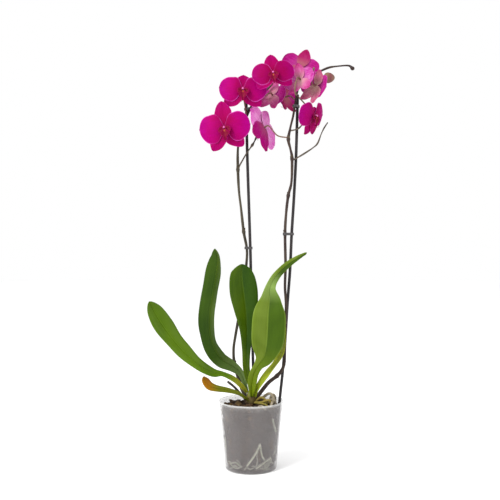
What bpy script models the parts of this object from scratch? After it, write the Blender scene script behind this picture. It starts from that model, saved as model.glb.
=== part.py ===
"""A moth orchid in a clear nursery pot: two staked flower spikes, six strap leaves, ten flowers.

Metres, +Z up. The origin is the middle of the flat underside of the pot, and the plant's front
looks along -Y. Routes and spines are written in millimetres and turned into metres by mm().
"""
import math

import bmesh
import bpy
from mathutils import Matrix, Vector

# ---------------------------------------------------------------- driving sizes, metres
GAP = 0.0003                    # clearance between pieces that touch

POT_HEIGHT = 0.130
POT_RIM_RADIUS = 0.0611
POT_BASE_RADIUS = 0.0492
POT_WALL = 0.0009
POT_FLOOR = 0.0012
POT_FOOT_ROUND = 0.0022         # rounding of the bottom edge
LIP_HEIGHT = 0.0040             # rolled band round the top edge
LIP_PROUD = 0.0013
DRAIN_HOLES = 6
DRAIN_RADIUS = 0.0045
DRAIN_CIRCLE = 0.031

MEDIUM_TOP = 0.1240             # top of the bark, in the middle
MEDIUM_EDGE = 0.1200            # and beside the wall
MEDIUM_FLAT = 0.013             # radius of the flat seat under the crown
ROOT_SPACE = 0.0035             # room between bark and wall, where the roots run

STAKE_RADIUS = 0.0025
SPIKE_RADIUS = 0.0024
PEDICEL_RADIUS = 0.0013
TWIG_RADIUS = 0.0013
WALL_ROOT_RADIUS = 0.0013
AIR_ROOT_RADIUS = 0.0024

CLIP_WALL = 0.0011
CLIP_HEIGHT = 0.0050

LEAF_THICKNESS = 0.0018
BLADE_THICKNESS = 0.0008        # petals and sepals
BLADE_GAP = 0.0006              # between the petals and the sepals behind them

PETAL_LENGTH = 0.0465
PETAL_HEIGHT = 0.053
DORSAL_LENGTH = 0.045
DORSAL_WIDTH = 0.032
LATERAL_LENGTH = 0.0465
LATERAL_WIDTH = 0.031
HUB_RADIUS = 0.0035             # where the lobes of a flower meet
LIP_SIZE = (0.0105, 0.0115, 0.0036)
LIP_DROP = 0.0135               # lip's middle below the column
COLUMN_LENGTH = 0.0095
COLUMN_RADIUS = 0.0030

# ---------------------------------------------------------------- routes, millimetres
# Leaves: spine points (x, y, z, width), the way the upper face looks at the base and at the tip,
# and the fold along the midrib in degrees.
LEAVES = {
    "leaf_long_left": (
        [(-8.9, -4.2, 144.2, 9), (-18, -10, 157, 13), (-32, -16, 172, 12), (-53, -24, 184, 10),
         (-74, -32, 189, 21), (-103, -42, 209, 27), (-135, -50, 242, 37), (-162, -54, 279, 44),
         (-179, -55, 307, 34), (-188, -56, 324, 9)],
        (0.30, -0.75, 0.60), (0.45, -0.70, 0.55), 9),
    "leaf_tall_left": (
        [(-6.3, 7.8, 145, 8), (-12, 11, 163, 12), (-20, 14, 180, 16), (-35, 16, 192, 23),
         (-57, 18, 205, 32), (-74, 18, 231, 38), (-81, 16, 264, 42), (-80, 14, 299, 45),
         (-73, 12, 340, 47), (-67, 11, 377, 43), (-65, 9, 403, 32), (-69, 8, 420, 9)],
        (-0.36, -0.82, 0.35), (-0.70, -0.70, 0.08), 26),
    "leaf_middle": (
        [(0, 0, 149.7, 7), (-4, 3, 165, 12), (-9, 4, 192, 14), (-9, 4, 226, 17), (-8, 3, 265, 29),
         (-10, 2, 303, 46), (-14, 0, 337, 55), (-17, -3, 365, 50), (-17, -5, 381, 36),
         (-17, -6, 391, 14)],
        (0.05, -0.98, 0.15), (0.10, -0.98, 0.15), 12),
    "leaf_front": (
        [(0.8, -8.9, 139, 9), (1.5, -15, 163, 19), (5, -21, 184, 20), (14, -26, 201, 20),
         (24, -30, 217, 38), (28.5, -32, 241, 64), (30.5, -31, 269, 71), (32, -29, 299, 67),
         (34.5, -25, 323, 46), (36, -20, 347, 23), (47, -14, 368, 17), (67, -8, 388, 14),
         (88, 0, 402, 10), (107, 6, 412, 4)],
        (0.10, -0.97, 0.10), (0.30, -0.90, 0.20), 24),
    "leaf_narrow_right": (
        [(9.3, -7, 138, 8), (13, -11, 153, 13), (20, -15, 168, 14), (32, -18, 185, 15),
         (46, -18, 203, 17), (56, -17, 221, 22), (60.5, -16, 245, 24), (61.5, -15, 271, 24),
         (60, -14, 295, 18), (58, -13, 309, 8)],
        (-0.45, -0.75, 0.50), (-0.93, -0.32, 0.20), 12),
    "leaf_short_yellow": (
        [(-7, -8.3, 132, 8), (-14, -15, 138, 8), (-25, -21, 147, 9), (-45, -28, 154, 11),
         (-64, -32, 158, 15), (-78, -34, 163, 20), (-86, -33, 173, 17), (-89, -32, 181, 7)],
        (0.10, -0.70, 0.70), (0.50, -0.75, 0.45), 14),
}
LEAF_FINISH = {"leaf_short_yellow": "leaf_old"}

# Spikes: (x, y, z), with the radius as a share of SPIKE_RADIUS; swellings are the nodes.
SPIKE_LEFT = [(-8.7, 5, 133, 0.9), (-17, 18, 147, 1), (-23, 27, 163, 1), (-32, 33, 193, 1.3),
              (-34, 34, 222, 1), (-30, 34, 251, 1), (-22, 32, 296, 1.3), (-14, 28, 339, 0.95),
              (-9, 22, 388, 0.95), (-8, 17, 419, 0.9), (-14, 14, 452, 1.2), (-19, 11, 496, 0.85),
              (-23, 9, 530, 0.85), (-25, 7, 571, 1.15), (-25, 4, 609, 0.8), (-21, 2, 637, 0.8),
              (-11, 1, 665, 0.95), (-2, 1, 685, 0.75), (5, 4, 701, 0.75), (17, 7, 714, 0.85),
              (30, 7, 723, 0.7), (40, 2, 732, 0.6)]
SPIKE_RIGHT = [(10.2, 1, 134, 0.9), (20, 4, 146, 1), (34, 4, 163, 1), (50, 3, 176, 1.2),
               (60, 1, 189, 1), (64, 0, 204, 1), (65, -1, 236, 1), (66, -1, 274, 1.3),
               (67, 0, 312, 1), (65, 1, 347, 0.95), (66, 2, 389, 1), (65, 2, 448, 1.2),
               (67, 2, 487, 0.9), (71, 1, 521, 1.3), (77, 0, 547, 0.85), (78, -1, 591, 1.1),
               (75, -1, 609, 0.8), (71, -1, 628, 1.15), (75, -1, 651, 0.75), (80, -1, 672, 0.8),
               (84, -1, 696, 0.75), (88, -1, 719, 0.85), (95, 2, 743, 0.7), (107, 5, 755, 0.75),
               (122, 4, 754, 0.65), (146, 0, 763, 0.8), (162, -2, 765.5, 0.55),
               (184, -4, 766.5, 0.65), (192, -5, 761, 1.1)]
DRY_SHOOT_LEFT = [(-25, 7, 573), (-10, 3, 599), (-1, 1, 612), (2.5, 0.5, 617), (6, 0, 623),
                  (10, -1, 631)]
DRY_SHOOT_RIGHT = [(78, 0, 588), (88, 1, 593), (103, 0, 602), (118, 0, 612), (127, 2, 621),
                   (134, 4, 639), (140, 5, 651), (146, 6, 660)]
BROKEN_SHOOT = [(74, -1, 644), (84, -1, 646), (91, -2, 649), (97, -3, 655)]
OLD_STUB = [(-10, -1.4, 131), (-19, -6, 142), (-29, -10, 154), (-37, -13, 162), (-43, -15, 167)]

STAKE_LEFT = [(8, 30, 8), (6, 28, 126), (1, 22, 305), (-1, 11, 409), (-6, 8, 563), (-8, 8, 636),
              (-9, 8, 697)]
STAKE_RIGHT = [(45.4, 4, 14), (55, 6, 126), (61, 8, 183), (66, 9, 245), (70, 10, 312),
               (75, 10, 379), (78, 9, 448), (82, 9, 513), (86, 9, 592), (88, 8, 666), (89, 8, 712)]

AIR_ROOTS = [
    [(11, -4, 130), (19, -11, 137), (27, -13, 133), (31, -13, 126)],
    [(12.5, 0.5, 127), (22, -2, 134), (31, -4, 142), (38, -6, 143), (42, -8, 137), (42, -9, 130),
     (40, -9, 123.5)],
    [(8, -10, 127), (20, -22, 130), (33, -22, 134), (39, -20, 126)],
]
# Roots behind the clear wall: (x, z) on the front half of the pot.
WALL_ROOTS = [
    [(16.5, 57), (12, 47), (5.5, 35), (-7, 17)],
    [(17.5, 54), (18.5, 43), (21, 33), (24, 27)],
    [(36, 28), (29, 24), (21, 19), (10, 12)],
    [(41, 101), (42, 93), (44, 85), (46, 76)],
    [(-38, 15), (-33, 19), (-27, 20), (-21, 16)],
    [(-49, 62), (-48.5, 54), (-47.5, 46), (-47, 40)],
]

# Clips: which stake and which spike they hold together, and how high.
CLIPS = {
    "clip_lower_left": ("left", 421),
    "clip_upper_left": ("left", 686),
    "clip_lower_right": ("right", 448),
    "clip_upper_right": ("right", 691),
}

# Flowers: the column's foot (x, y, z), which way it faces (azimuth from the front towards +X,
# elevation), its roll, its size, how far its tips bend back (mm), the length of its top sepal as a
# share, how far below level its two lower sepals spread (degrees), its spike, the first points of
# its pedicel, and its petals' height as a share.
FLOWERS = [
    ((-49, -42, 645), -6, 0, 8, 1.03, 6, 1.08, 54, "left", [(-22, 3, 635), (-34, -8, 646)], 1.00),
    ((-15, -34, 717), 0, 3, 0, 0.96, 6, 0.63, 40, "left", [(-8, 1, 673), (-14, -12, 705)], 0.91),
    ((40.5, -52, 744), -2, 3, 7, 0.85, 7, 0.92, 37, "left", [(38, 3, 730), (42, -16, 741)], 0.88),
    ((95, 26, 770), 176, -18, 20, 0.80, 6, 1.00, 50, "right", [(104, 5, 753), (98, 7, 762)], 1.00),
    ((92, -32, 735), 146, -10, -12, 0.68, 7, 1.00, 50, "right",
     [(87.5, -1, 716), (87, -10, 711), (85, -24, 708), (82, -39, 708), (81, -48, 720)], 1.00),
    ((122, -25, 725), 128, -12, 20, 0.82, 8, 0.80, 56, "right",
     [(118, 5, 755), (119, -8, 760), (117, -24, 758), (112, -34, 745)], 1.00),
    ((119, -12, 672), 52, -12, 5, 0.84, 8, 0.40, 72, "right",
     [(87, -1, 711), (104, 2, 693)], 1.00),
    ((25, -1, 650), -120, -12, 42, 1.03, -3, 0.97, 60, "right",
     [(70, -1, 631), (50, -2, 635)], 1.00),
    ((41, 8, 713.5), 150, -12, 10, 0.70, 7, 1.00, 58, "left", [(16, 6, 713), (26, 4, 711)], 1.00),
    ((67, 38, 714), -124, -6, 0, 0.74, 7, 1.00, 54, "right", [(85, -1, 702), (84, 20, 706)], 1.00),
]
BUD_CENTRE = (148, -2, 744)
BUD_SIZE = (0.0108, 0.0096, 0.0100)
BUD_STALK = [(121, 4, 755), (127, 1, 751), (132, -1.5, 745.5)]

# ---------------------------------------------------------------- finishes: colour, roughness, alpha
FINISHES = {
    "pot_clear": ((0.55, 0.52, 0.50), 0.30, 0.45),
    "bark": ((0.10, 0.06, 0.035), 0.95, 1.0),
    "stake_dark": ((0.035, 0.030, 0.032), 0.55, 1.0),
    "clip_dark": ((0.05, 0.045, 0.045), 0.50, 1.0),
    "leaf_green": ((0.10, 0.24, 0.02), 0.40, 1.0),
    "leaf_old": ((0.62, 0.36, 0.04), 0.50, 1.0),
    "stem_green": ((0.28, 0.30, 0.08), 0.60, 1.0),
    "spike_olive": ((0.16, 0.12, 0.07), 0.60, 1.0),
    "stub_dry": ((0.06, 0.045, 0.035), 0.85, 1.0),
    "root_pale": ((0.50, 0.50, 0.36), 0.70, 1.0),
    "petal_magenta": ((0.58, 0.0, 0.26), 0.50, 1.0),
    "sepal_magenta": ((0.50, 0.0, 0.16), 0.50, 1.0),
    "lip_crimson": ((0.24, 0.0, 0.03), 0.45, 1.0),
    "bud_pink": ((0.45, 0.22, 0.20), 0.55, 1.0),
}


def mm(*lengths):
    """Millimetres to a point in metres."""
    return Vector(lengths) / 1000


def clear_scene():
    for thing in list(bpy.data.objects):
        bpy.data.objects.remove(thing, do_unlink=True)


def new_collection(name):
    group = bpy.data.collections.new(name)
    bpy.context.scene.collection.children.link(group)
    return group


def finish(name):
    """The named material, made on first use."""
    material = bpy.data.materials.get(name)
    if material:
        return material
    colour, roughness, alpha = FINISHES[name]
    material = bpy.data.materials.new(name)
    material.use_nodes = True
    shader = material.node_tree.nodes["Principled BSDF"]
    shader.inputs["Base Color"].default_value = (*colour, 1)
    shader.inputs["Roughness"].default_value = roughness
    shader.inputs["Metallic"].default_value = 0
    shader.inputs["Alpha"].default_value = alpha
    return material


def add_mesh(name, mesh, group, finish_name=None):
    """A new object for the mesh, in the given collection."""
    thing = bpy.data.objects.new(name, mesh)
    group.objects.link(thing)
    if finish_name:
        mesh.materials.clear()
        mesh.materials.append(finish(finish_name))
        mesh.shade_smooth()
        mesh.set_sharp_from_angle(angle=math.radians(40))
    return thing


def apply_modifiers(thing):
    """Replace the object's mesh by what its modifiers make of it."""
    graph = bpy.context.evaluated_depsgraph_get()
    mesh = bpy.data.meshes.new_from_object(thing.evaluated_get(graph))
    thing.modifiers.clear()
    thing.data = mesh


def boolean(thing, others, operation):
    """Join the others to the object, or cut them from it, and remove them."""
    for other in others:
        step = thing.modifiers.new(operation.lower(), "BOOLEAN")
        step.operation = operation
        step.solver = "EXACT"
        step.object = other
        apply_modifiers(thing)
        bpy.data.objects.remove(other, do_unlink=True)


def smooth_route(points, steps):
    """Points along a Catmull-Rom curve through the given ones; extra columns are carried along."""
    size = len(points[0])
    rows = [Vector(point) for point in points]
    first = rows[0] * 2 - rows[1]
    last = rows[-1] * 2 - rows[-2]
    rows = [first, *rows, last]
    route = []
    for a, b, c, d in zip(rows, rows[1:], rows[2:], rows[3:]):
        for step in range(steps):
            t = step / steps
            route.append(0.5 * (2 * b + (c - a) * t + (2 * a - 5 * b + 4 * c - d) * t ** 2
                                + (3 * b - a - 3 * c + d) * t ** 3))
    route.append(rows[-2])
    return [tuple(row)[:size] for row in route]


def tube(name, route, radius, group, sides=8):
    """A round rod along the route: (x, y, z) or (x, y, z, share of the radius), in millimetres."""
    curve = bpy.data.curves.new(name, "CURVE")
    curve.dimensions = "3D"
    curve.bevel_depth = radius
    curve.bevel_resolution = (sides - 4) // 2
    curve.use_fill_caps = True
    spline = curve.splines.new("POLY")
    spline.points.add(len(route) - 1)
    for point, place in zip(spline.points, route):
        point.co = (*mm(*place[:3]), 1)
        point.radius = place[3] if len(place) > 3 else 1
    rod = bpy.data.objects.new(name + "_route", curve)
    group.objects.link(rod)
    graph = bpy.context.evaluated_depsgraph_get()
    mesh = bpy.data.meshes.new_from_object(rod.evaluated_get(graph))
    mesh.transform(rod.matrix_world)
    bpy.data.objects.remove(rod, do_unlink=True)
    weld(mesh)
    return add_mesh(name, mesh, group)


def weld(mesh):
    shape = bmesh.new()
    shape.from_mesh(mesh)
    bmesh.ops.remove_doubles(shape, verts=shape.verts, dist=0.000001)
    shape.to_mesh(mesh)
    shape.free()


def complete(thing, finish_name):
    """Give a finished solid its material and smooth shading."""
    thing.data.materials.clear()
    thing.data.materials.append(finish(finish_name))
    thing.data.shade_smooth()
    thing.data.set_sharp_from_angle(angle=math.radians(40))
    return thing


# ---------------------------------------------------------------- pot and bark
def pot_outer_radius(z):
    return POT_BASE_RADIUS + (POT_RIM_RADIUS - POT_BASE_RADIUS) * z / POT_HEIGHT


def pot_inner_radius(z):
    return pot_outer_radius(z) - POT_WALL


def turned(name, profile, group, steps):
    """A body turned round the Z axis from a profile of (radius, height)."""
    mesh = bpy.data.meshes.new(name)
    points = [(radius, 0, height) for radius, height in profile]
    mesh.from_pydata(points, [(i, i + 1) for i in range(len(points) - 1)], [])
    thing = add_mesh(name, mesh, group)
    screw = thing.modifiers.new("turn", "SCREW")
    screw.axis = "Z"
    screw.angle = math.tau
    screw.steps = steps
    screw.render_steps = steps
    screw.use_merge_vertices = True
    screw.merge_threshold = 0.00001
    apply_modifiers(thing)
    return thing


def cylinder(name, radius, bottom, top, group, place=(0, 0), sides=20):
    bpy.ops.mesh.primitive_cylinder_add(vertices=sides, radius=radius, depth=top - bottom,
                                        location=(*place, (top + bottom) / 2))
    thing = bpy.context.active_object
    thing.name = name
    for owner in list(thing.users_collection):
        owner.objects.unlink(thing)
    group.objects.link(thing)
    thing.hide_render = True
    thing.display_type = "WIRE"
    return thing


def make_pot(group, cutters):
    """The clear plastic pot: a tapered thin wall, a rolled lip, a floor with drain holes."""
    top, lip = POT_HEIGHT, POT_HEIGHT - LIP_HEIGHT
    foot = POT_FOOT_ROUND
    profile = [
        (0, POT_FLOOR),
        (pot_inner_radius(POT_FLOOR) - foot, POT_FLOOR),
        (pot_inner_radius(foot), POT_FLOOR + foot),
        (pot_inner_radius(top), top - POT_WALL / 2),
        (pot_outer_radius(top) - POT_WALL / 2, top),
        (pot_outer_radius(top) + LIP_PROUD * 0.7, top - 0.0003),
        (pot_outer_radius(top) + LIP_PROUD, top - 0.0012),
        (pot_outer_radius(lip) + LIP_PROUD, lip + 0.0006),
        (pot_outer_radius(lip), lip),
        (pot_outer_radius(foot), foot),
        (pot_outer_radius(0) - foot * 0.3, foot * 0.3),
        (pot_outer_radius(0) - foot, 0),
        (0, 0),
    ]
    pot = turned("pot", profile, group, 40)
    holes = []
    for number in range(DRAIN_HOLES):
        angle = math.tau * (number + 0.5) / DRAIN_HOLES
        place = (DRAIN_CIRCLE * math.cos(angle), DRAIN_CIRCLE * math.sin(angle))
        holes.append(cylinder("drain", DRAIN_RADIUS, -0.002, 0.004, cutters, place, 12))
    boolean(pot, holes, "DIFFERENCE")
    return complete(pot, "pot_clear")


def bark_height(radius):
    """Height of the bark's mounded top at a distance from the axis."""
    edge = pot_inner_radius(MEDIUM_EDGE) - ROOT_SPACE
    share = max(0, radius - MEDIUM_FLAT) / (edge - MEDIUM_FLAT)
    return MEDIUM_TOP - (MEDIUM_TOP - MEDIUM_EDGE) * share ** 2


def make_bark(group, cutters):
    """The bark that fills the pot, mounded in the middle, with a hole for each stake."""
    bottom = POT_FLOOR + GAP
    edge = pot_inner_radius(MEDIUM_EDGE) - ROOT_SPACE
    rings = [MEDIUM_FLAT + (edge - MEDIUM_FLAT) * step / 3 for step in range(4)]
    profile = [(0, MEDIUM_TOP)]
    profile += [(radius, bark_height(radius)) for radius in rings]
    profile += [
        (pot_inner_radius(0.012) - ROOT_SPACE, 0.012),
        (pot_inner_radius(bottom) - ROOT_SPACE - 0.003, bottom),
        (0, bottom),
    ]
    bark = turned("bark_medium", profile, group, 32)
    sockets = []
    for route in (STAKE_LEFT, STAKE_RIGHT):
        rod = smooth_route(route, 2)[:4]
        sockets.append(tube("socket", extended_down(rod, 1.5), STAKE_RADIUS + 2 * GAP, cutters, 8))
    boolean(bark, sockets, "DIFFERENCE")
    return complete(bark, "bark")


def extended_down(route, extra):
    """The route with its first point moved down by extra millimetres."""
    (x, y, z), *rest = route
    return [(x, y, z - extra), *rest]


# ---------------------------------------------------------------- stakes and clips
def make_stake(name, route, group):
    stake = tube(name, smooth_route(route, 2), STAKE_RADIUS, group, 8)
    return complete(stake, "stake_dark")


def place_at_height(route, height):
    """The point where a route passes a height, in millimetres."""
    for low, high in zip(route, route[1:]):
        if low[2] <= height <= high[2]:
            share = (height - low[2]) / (high[2] - low[2])
            return Vector(low[:3]).lerp(Vector(high[:3]), share)
    raise ValueError("height is outside the route")


def make_clip(name, stake_route, spike_route, height, group):
    """A plastic band that runs round a stake and a spike and holds them together."""
    stake = place_at_height(smooth_route(stake_route, 6), height) / 1000
    spike = place_at_height(smooth_route(spike_route, 6), height) / 1000
    across = spike - stake
    angle = math.atan2(across.y, across.x)
    inner = STAKE_RADIUS + GAP + 0.0005
    bpy.ops.mesh.primitive_cylinder_add(vertices=24, radius=inner, depth=CLIP_HEIGHT,
                                        end_fill_type="NOTHING")
    band = bpy.context.active_object
    for vertex in band.data.vertices:
        if vertex.co.x > 0:
            vertex.co.x += across.length
    band.data.transform(Matrix.Translation(stake) @ Matrix.Rotation(angle, 4, "Z"))
    shell = bpy.data.meshes.new_from_object(band)
    bpy.data.objects.remove(band, do_unlink=True)
    clip = add_mesh(name, shell, group)
    wall = clip.modifiers.new("wall", "SOLIDIFY")
    wall.thickness = CLIP_WALL
    wall.offset = 1
    return complete(clip, "clip_dark")


# ---------------------------------------------------------------- leaves, stems and roots
def make_leaf(name, spine, base_face, tip_face, fold, group):
    """A thick strap leaf: a grid laid along its spine and folded along the midrib."""
    rows = smooth_route(spine, 2)
    across = 4
    bpy.ops.mesh.primitive_grid_add(x_subdivisions=across, y_subdivisions=len(rows) - 1, size=2)
    strap = bpy.context.active_object
    blade = strap.data.copy()
    bpy.data.objects.remove(strap, do_unlink=True)
    points = [mm(*row[:3]) for row in rows]
    fold = math.radians(fold)
    for vertex in blade.vertices:
        side_share = vertex.co.x
        row = round((vertex.co.y + 1) / 2 * (len(rows) - 1))
        ahead = points[min(row + 1, len(rows) - 1)]
        behind = points[max(row - 1, 0)]
        along = (ahead - behind).normalized()
        face = Vector(base_face).lerp(Vector(tip_face), row / (len(rows) - 1))
        side = along.cross(face).normalized()
        up = side.cross(along).normalized()
        half = rows[row][3] / 2000
        vertex.co = (points[row] + side * half * side_share * math.cos(fold)
                     + up * half * abs(side_share) * math.sin(fold))
    leaf = add_mesh(name, blade, group)
    body = leaf.modifiers.new("thickness", "SOLIDIFY")
    body.thickness = LEAF_THICKNESS
    body.offset = 0
    return complete(leaf, LEAF_FINISH.get(name, "leaf_green"))


def make_crown(group):
    """The short upright stem that the leaves and spikes grow from."""
    bottom = MEDIUM_TOP + GAP
    profile = [(0, 0.1490), (0.0045, 0.1484), (0.0068, 0.1450), (0.0078, 0.1370),
               (0.0084, 0.1300), (0.0078, bottom), (0, bottom)]
    return complete(turned("crown_stem", profile, group, 16), "stem_green")


def make_spike(name, route, shoots, pedicels, group):
    """A flower spike with its dry side shoots and the stalks of its flowers, grown as one."""
    spike = tube(name, smooth_route(route, 2), SPIKE_RADIUS, group, 6)
    branches = [tube("shoot", smooth_route(shoot, 2), TWIG_RADIUS, group, 6) for shoot in shoots]
    for pedicel in pedicels:
        branches.append(tube("pedicel", smooth_route(pedicel, 2), PEDICEL_RADIUS, group, 6))
    boolean(spike, branches, "UNION")
    return complete(spike, "spike_olive")


def make_wall_root(name, route, group):
    """A root that runs between the bark and the clear wall, on the front half of the pot."""
    places = []
    for x, z in smooth_route(route, 3):
        radius = pot_inner_radius(z / 1000) * 1000 - ROOT_SPACE * 500
        places.append((x, -math.sqrt(radius ** 2 - x ** 2), z))
    return complete(tube(name, places, WALL_ROOT_RADIUS, group, 6), "root_pale")


def make_air_root(name, route, group):
    return complete(tube(name, smooth_route(route, 4), AIR_ROOT_RADIUS, group, 8), "root_pale")


# ---------------------------------------------------------------- flowers
def flower_frame(centre, azimuth, elevation, roll):
    """Matrix that puts a flower's own +Z along the way it faces and its +Y to its top."""
    azimuth, elevation = math.radians(azimuth), math.radians(elevation)
    facing = Vector((math.sin(azimuth) * math.cos(elevation),
                     -math.cos(azimuth) * math.cos(elevation), math.sin(elevation)))
    right = Vector((0, 0, 1)).cross(facing).normalized()
    top = facing.cross(right)
    turn = Matrix((right, top, facing)).transposed()
    return (Matrix.Translation(mm(*centre)) @ turn.to_4x4()
            @ Matrix.Rotation(math.radians(roll), 4, "Z"))


def lobe_reach(angle, axis, length, width):
    """Distance from the middle to the edge of one oval lobe that starts at the middle."""
    cosine, sine = math.cos(angle - axis), math.sin(angle - axis)
    if cosine <= 0:
        return 0
    a, b = length / 2, width / 2
    return 2 * a * cosine * b * b / ((b * cosine) ** 2 + (a * sine) ** 2)


def lobed_blade(name, lobes, size, bend, height, group, finish_name):
    """A thin shell with oval lobes round its middle, bent back towards the tips."""
    shape = bmesh.new()
    bmesh.ops.create_uvsphere(shape, u_segments=24, v_segments=6, radius=1)
    lower = [vertex for vertex in shape.verts if vertex.co.z < -0.01]
    bmesh.ops.delete(shape, geom=lower, context="VERTS")
    for vertex in shape.verts:
        share = math.acos(min(1, vertex.co.z)) / (math.pi / 2)
        angle = math.atan2(vertex.co.y, vertex.co.x)
        reach = max([HUB_RADIUS] + [lobe_reach(angle, math.radians(axis), length, width)
                                    for axis, length, width in lobes]) * size
        radius = reach * share
        drop = bend / 1000 * (radius / (PETAL_LENGTH * size)) ** 2
        vertex.co = (radius * math.cos(angle), radius * math.sin(angle), height - drop)
    mesh = bpy.data.meshes.new(name)
    shape.to_mesh(mesh)
    shape.free()
    blade = add_mesh(name, mesh, group)
    skin = blade.modifiers.new("thickness", "SOLIDIFY")
    skin.thickness = BLADE_THICKNESS
    skin.offset = 0
    return complete(blade, finish_name)


def make_lip(name, size, group):
    """The lip below the middle, with its side lobes forward, joined to the column above it."""
    foot = BLADE_THICKNESS + BLADE_GAP / 2 + GAP
    bpy.ops.mesh.primitive_uv_sphere_add(segments=10, ring_count=6, radius=1)
    ball = bpy.context.active_object
    mesh = ball.data.copy()
    bpy.data.objects.remove(ball, do_unlink=True)
    wide, tall, deep = (length * size for length in LIP_SIZE)
    for vertex in mesh.vertices:
        x, y, z = vertex.co
        vertex.co = (wide * x * (1 - 0.25 * y), tall * y - LIP_DROP * size,
                     foot + deep * (1.1 + z + 1.3 * x * x) + deep * 0.5 * y * y)
    lip = add_mesh(name, mesh, group)
    column = cylinder("column", COLUMN_RADIUS * size, foot, foot + COLUMN_LENGTH * size, group,
                      (0, 0), 8)
    boolean(lip, [column], "UNION")
    return complete(lip, "lip_crimson")


def make_flower(number, spec, group):
    """One flower: three sepals behind, two broad petals, and the lip with its column."""
    centre, azimuth, elevation, roll, size, bend, top_share, spread = spec[:8]
    tall = PETAL_HEIGHT * spec[10]
    holder = bpy.data.objects.new(f"flower_{number}_place", None)
    group.objects.link(holder)
    holder.matrix_world = flower_frame(centre, azimuth, elevation, roll)
    sepals = [(90, DORSAL_LENGTH * top_share, DORSAL_WIDTH),
              (-spread, LATERAL_LENGTH, LATERAL_WIDTH),
              (spread - 180, LATERAL_LENGTH, LATERAL_WIDTH)]
    petals = [(0, PETAL_LENGTH, tall), (180, PETAL_LENGTH, tall)]
    layer = (BLADE_THICKNESS + BLADE_GAP) / 2
    name = f"flower_{number}"
    parts = [
        lobed_blade(f"{name}_sepals", sepals, size, bend, -layer, group, "sepal_magenta"),
        lobed_blade(f"{name}_petals", petals, size, bend, layer, group, "petal_magenta"),
        make_lip(f"{name}_lip", size, group),
    ]
    for part in parts:
        part.parent = holder


def pedicel_route(spec):
    """From the spike to the back of the flower, which it meets square on."""
    frame = flower_frame(*spec[:4])
    back = -(BLADE_THICKNESS + BLADE_GAP / 2 + 2 * GAP)
    seat = frame @ Vector((0, 0, back)) * 1000
    behind = frame @ Vector((0, 0, back - 0.009)) * 1000
    return [*spec[9], tuple(behind), tuple(seat)]


def make_bud(group):
    """The last unopened bud, an oval slightly pointed at its tip."""
    bpy.ops.mesh.primitive_uv_sphere_add(segments=14, ring_count=8, radius=1)
    ball = bpy.context.active_object
    mesh = ball.data.copy()
    bpy.data.objects.remove(ball, do_unlink=True)
    long, deep, tall = BUD_SIZE
    turn = Matrix.Rotation(math.radians(90), 4, "Y")
    centre = mm(*BUD_CENTRE)
    for vertex in mesh.vertices:
        along, y, z = turn @ vertex.co
        narrow = 1 - 0.22 * along
        vertex.co = centre + Vector((long * along, deep * y * narrow, tall * z * narrow))
    return complete(add_mesh("flower_bud", mesh, group), "bud_pink")


def bud_stalk():
    seat = Vector(BUD_CENTRE) - Vector((BUD_SIZE[0] + 1.5 * GAP, 0, 0)) * 1000
    return [*BUD_STALK, tuple(seat)]


# ---------------------------------------------------------------- the whole plant
clear_scene()
plant = new_collection("potted_orchid")
cutters = new_collection("cutters")

make_pot(plant, cutters)
make_bark(plant, cutters)
make_crown(plant)
make_stake("stake_left", STAKE_LEFT, plant)
make_stake("stake_right", STAKE_RIGHT, plant)
routes = {"left": (STAKE_LEFT, SPIKE_LEFT), "right": (STAKE_RIGHT, SPIKE_RIGHT)}
for clip_name, (side, height) in CLIPS.items():
    make_clip(clip_name, *routes[side], height, plant)

for leaf_name, (spine, base_face, tip_face, fold) in LEAVES.items():
    make_leaf(leaf_name, spine, base_face, tip_face, fold, plant)

stalks = {"left": [], "right": [bud_stalk()]}
for number, spec in enumerate(FLOWERS, 1):
    make_flower(number, spec, plant)
    stalks[spec[8]].append(pedicel_route(spec))
make_spike("flower_spike_left", SPIKE_LEFT, [DRY_SHOOT_LEFT], stalks["left"], plant)
make_spike("flower_spike_right", SPIKE_RIGHT, [DRY_SHOOT_RIGHT, BROKEN_SHOOT], stalks["right"],
           plant)
make_bud(plant)

complete(tube("old_spike_stub", smooth_route(OLD_STUB, 2), AIR_ROOT_RADIUS, plant, 8), "stub_dry")
for number, route in enumerate(AIR_ROOTS, 1):
    make_air_root(f"air_root_{number}", route, plant)
for number, route in enumerate(WALL_ROOTS, 1):
    make_wall_root(f"wall_root_{number}", route, plant)
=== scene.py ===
import random
from math import atan2, copysign, cos, exp, pi, radians, sin, sqrt, tau

import bmesh
import bpy
from mathutils import Matrix, Vector, noise


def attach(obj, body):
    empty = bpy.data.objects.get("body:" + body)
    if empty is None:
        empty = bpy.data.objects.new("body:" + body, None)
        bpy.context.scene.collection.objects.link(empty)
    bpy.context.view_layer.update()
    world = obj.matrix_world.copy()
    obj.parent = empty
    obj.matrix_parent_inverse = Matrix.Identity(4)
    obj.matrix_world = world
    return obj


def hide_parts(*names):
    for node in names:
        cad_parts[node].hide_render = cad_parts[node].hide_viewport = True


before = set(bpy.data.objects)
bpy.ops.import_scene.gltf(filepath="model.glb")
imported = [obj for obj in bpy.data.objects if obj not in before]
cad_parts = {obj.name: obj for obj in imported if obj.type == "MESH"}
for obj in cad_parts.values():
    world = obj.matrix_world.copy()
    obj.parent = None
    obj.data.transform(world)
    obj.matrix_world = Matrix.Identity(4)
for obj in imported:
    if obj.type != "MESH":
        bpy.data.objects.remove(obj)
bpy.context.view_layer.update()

# ---------------------------------------------------------------- studio
# The plant stands on a wide white table top in a white room, lit by one big soft box from the
# upper left and a weaker one from the right. The camera looks straight at it, a little from above.
CAMERA_PLACE, CAMERA_TILT, CAMERA_LENS = (-0.0019, -1.56, 0.4575), 88.53, 58.9
PLANT_MIDDLE, TABLE_RADIUS, TABLE_DROP = (0, 0, 0.45), 6, 0.0004
scene = bpy.context.scene
scene.view_settings.view_transform = "Standard"
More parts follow.
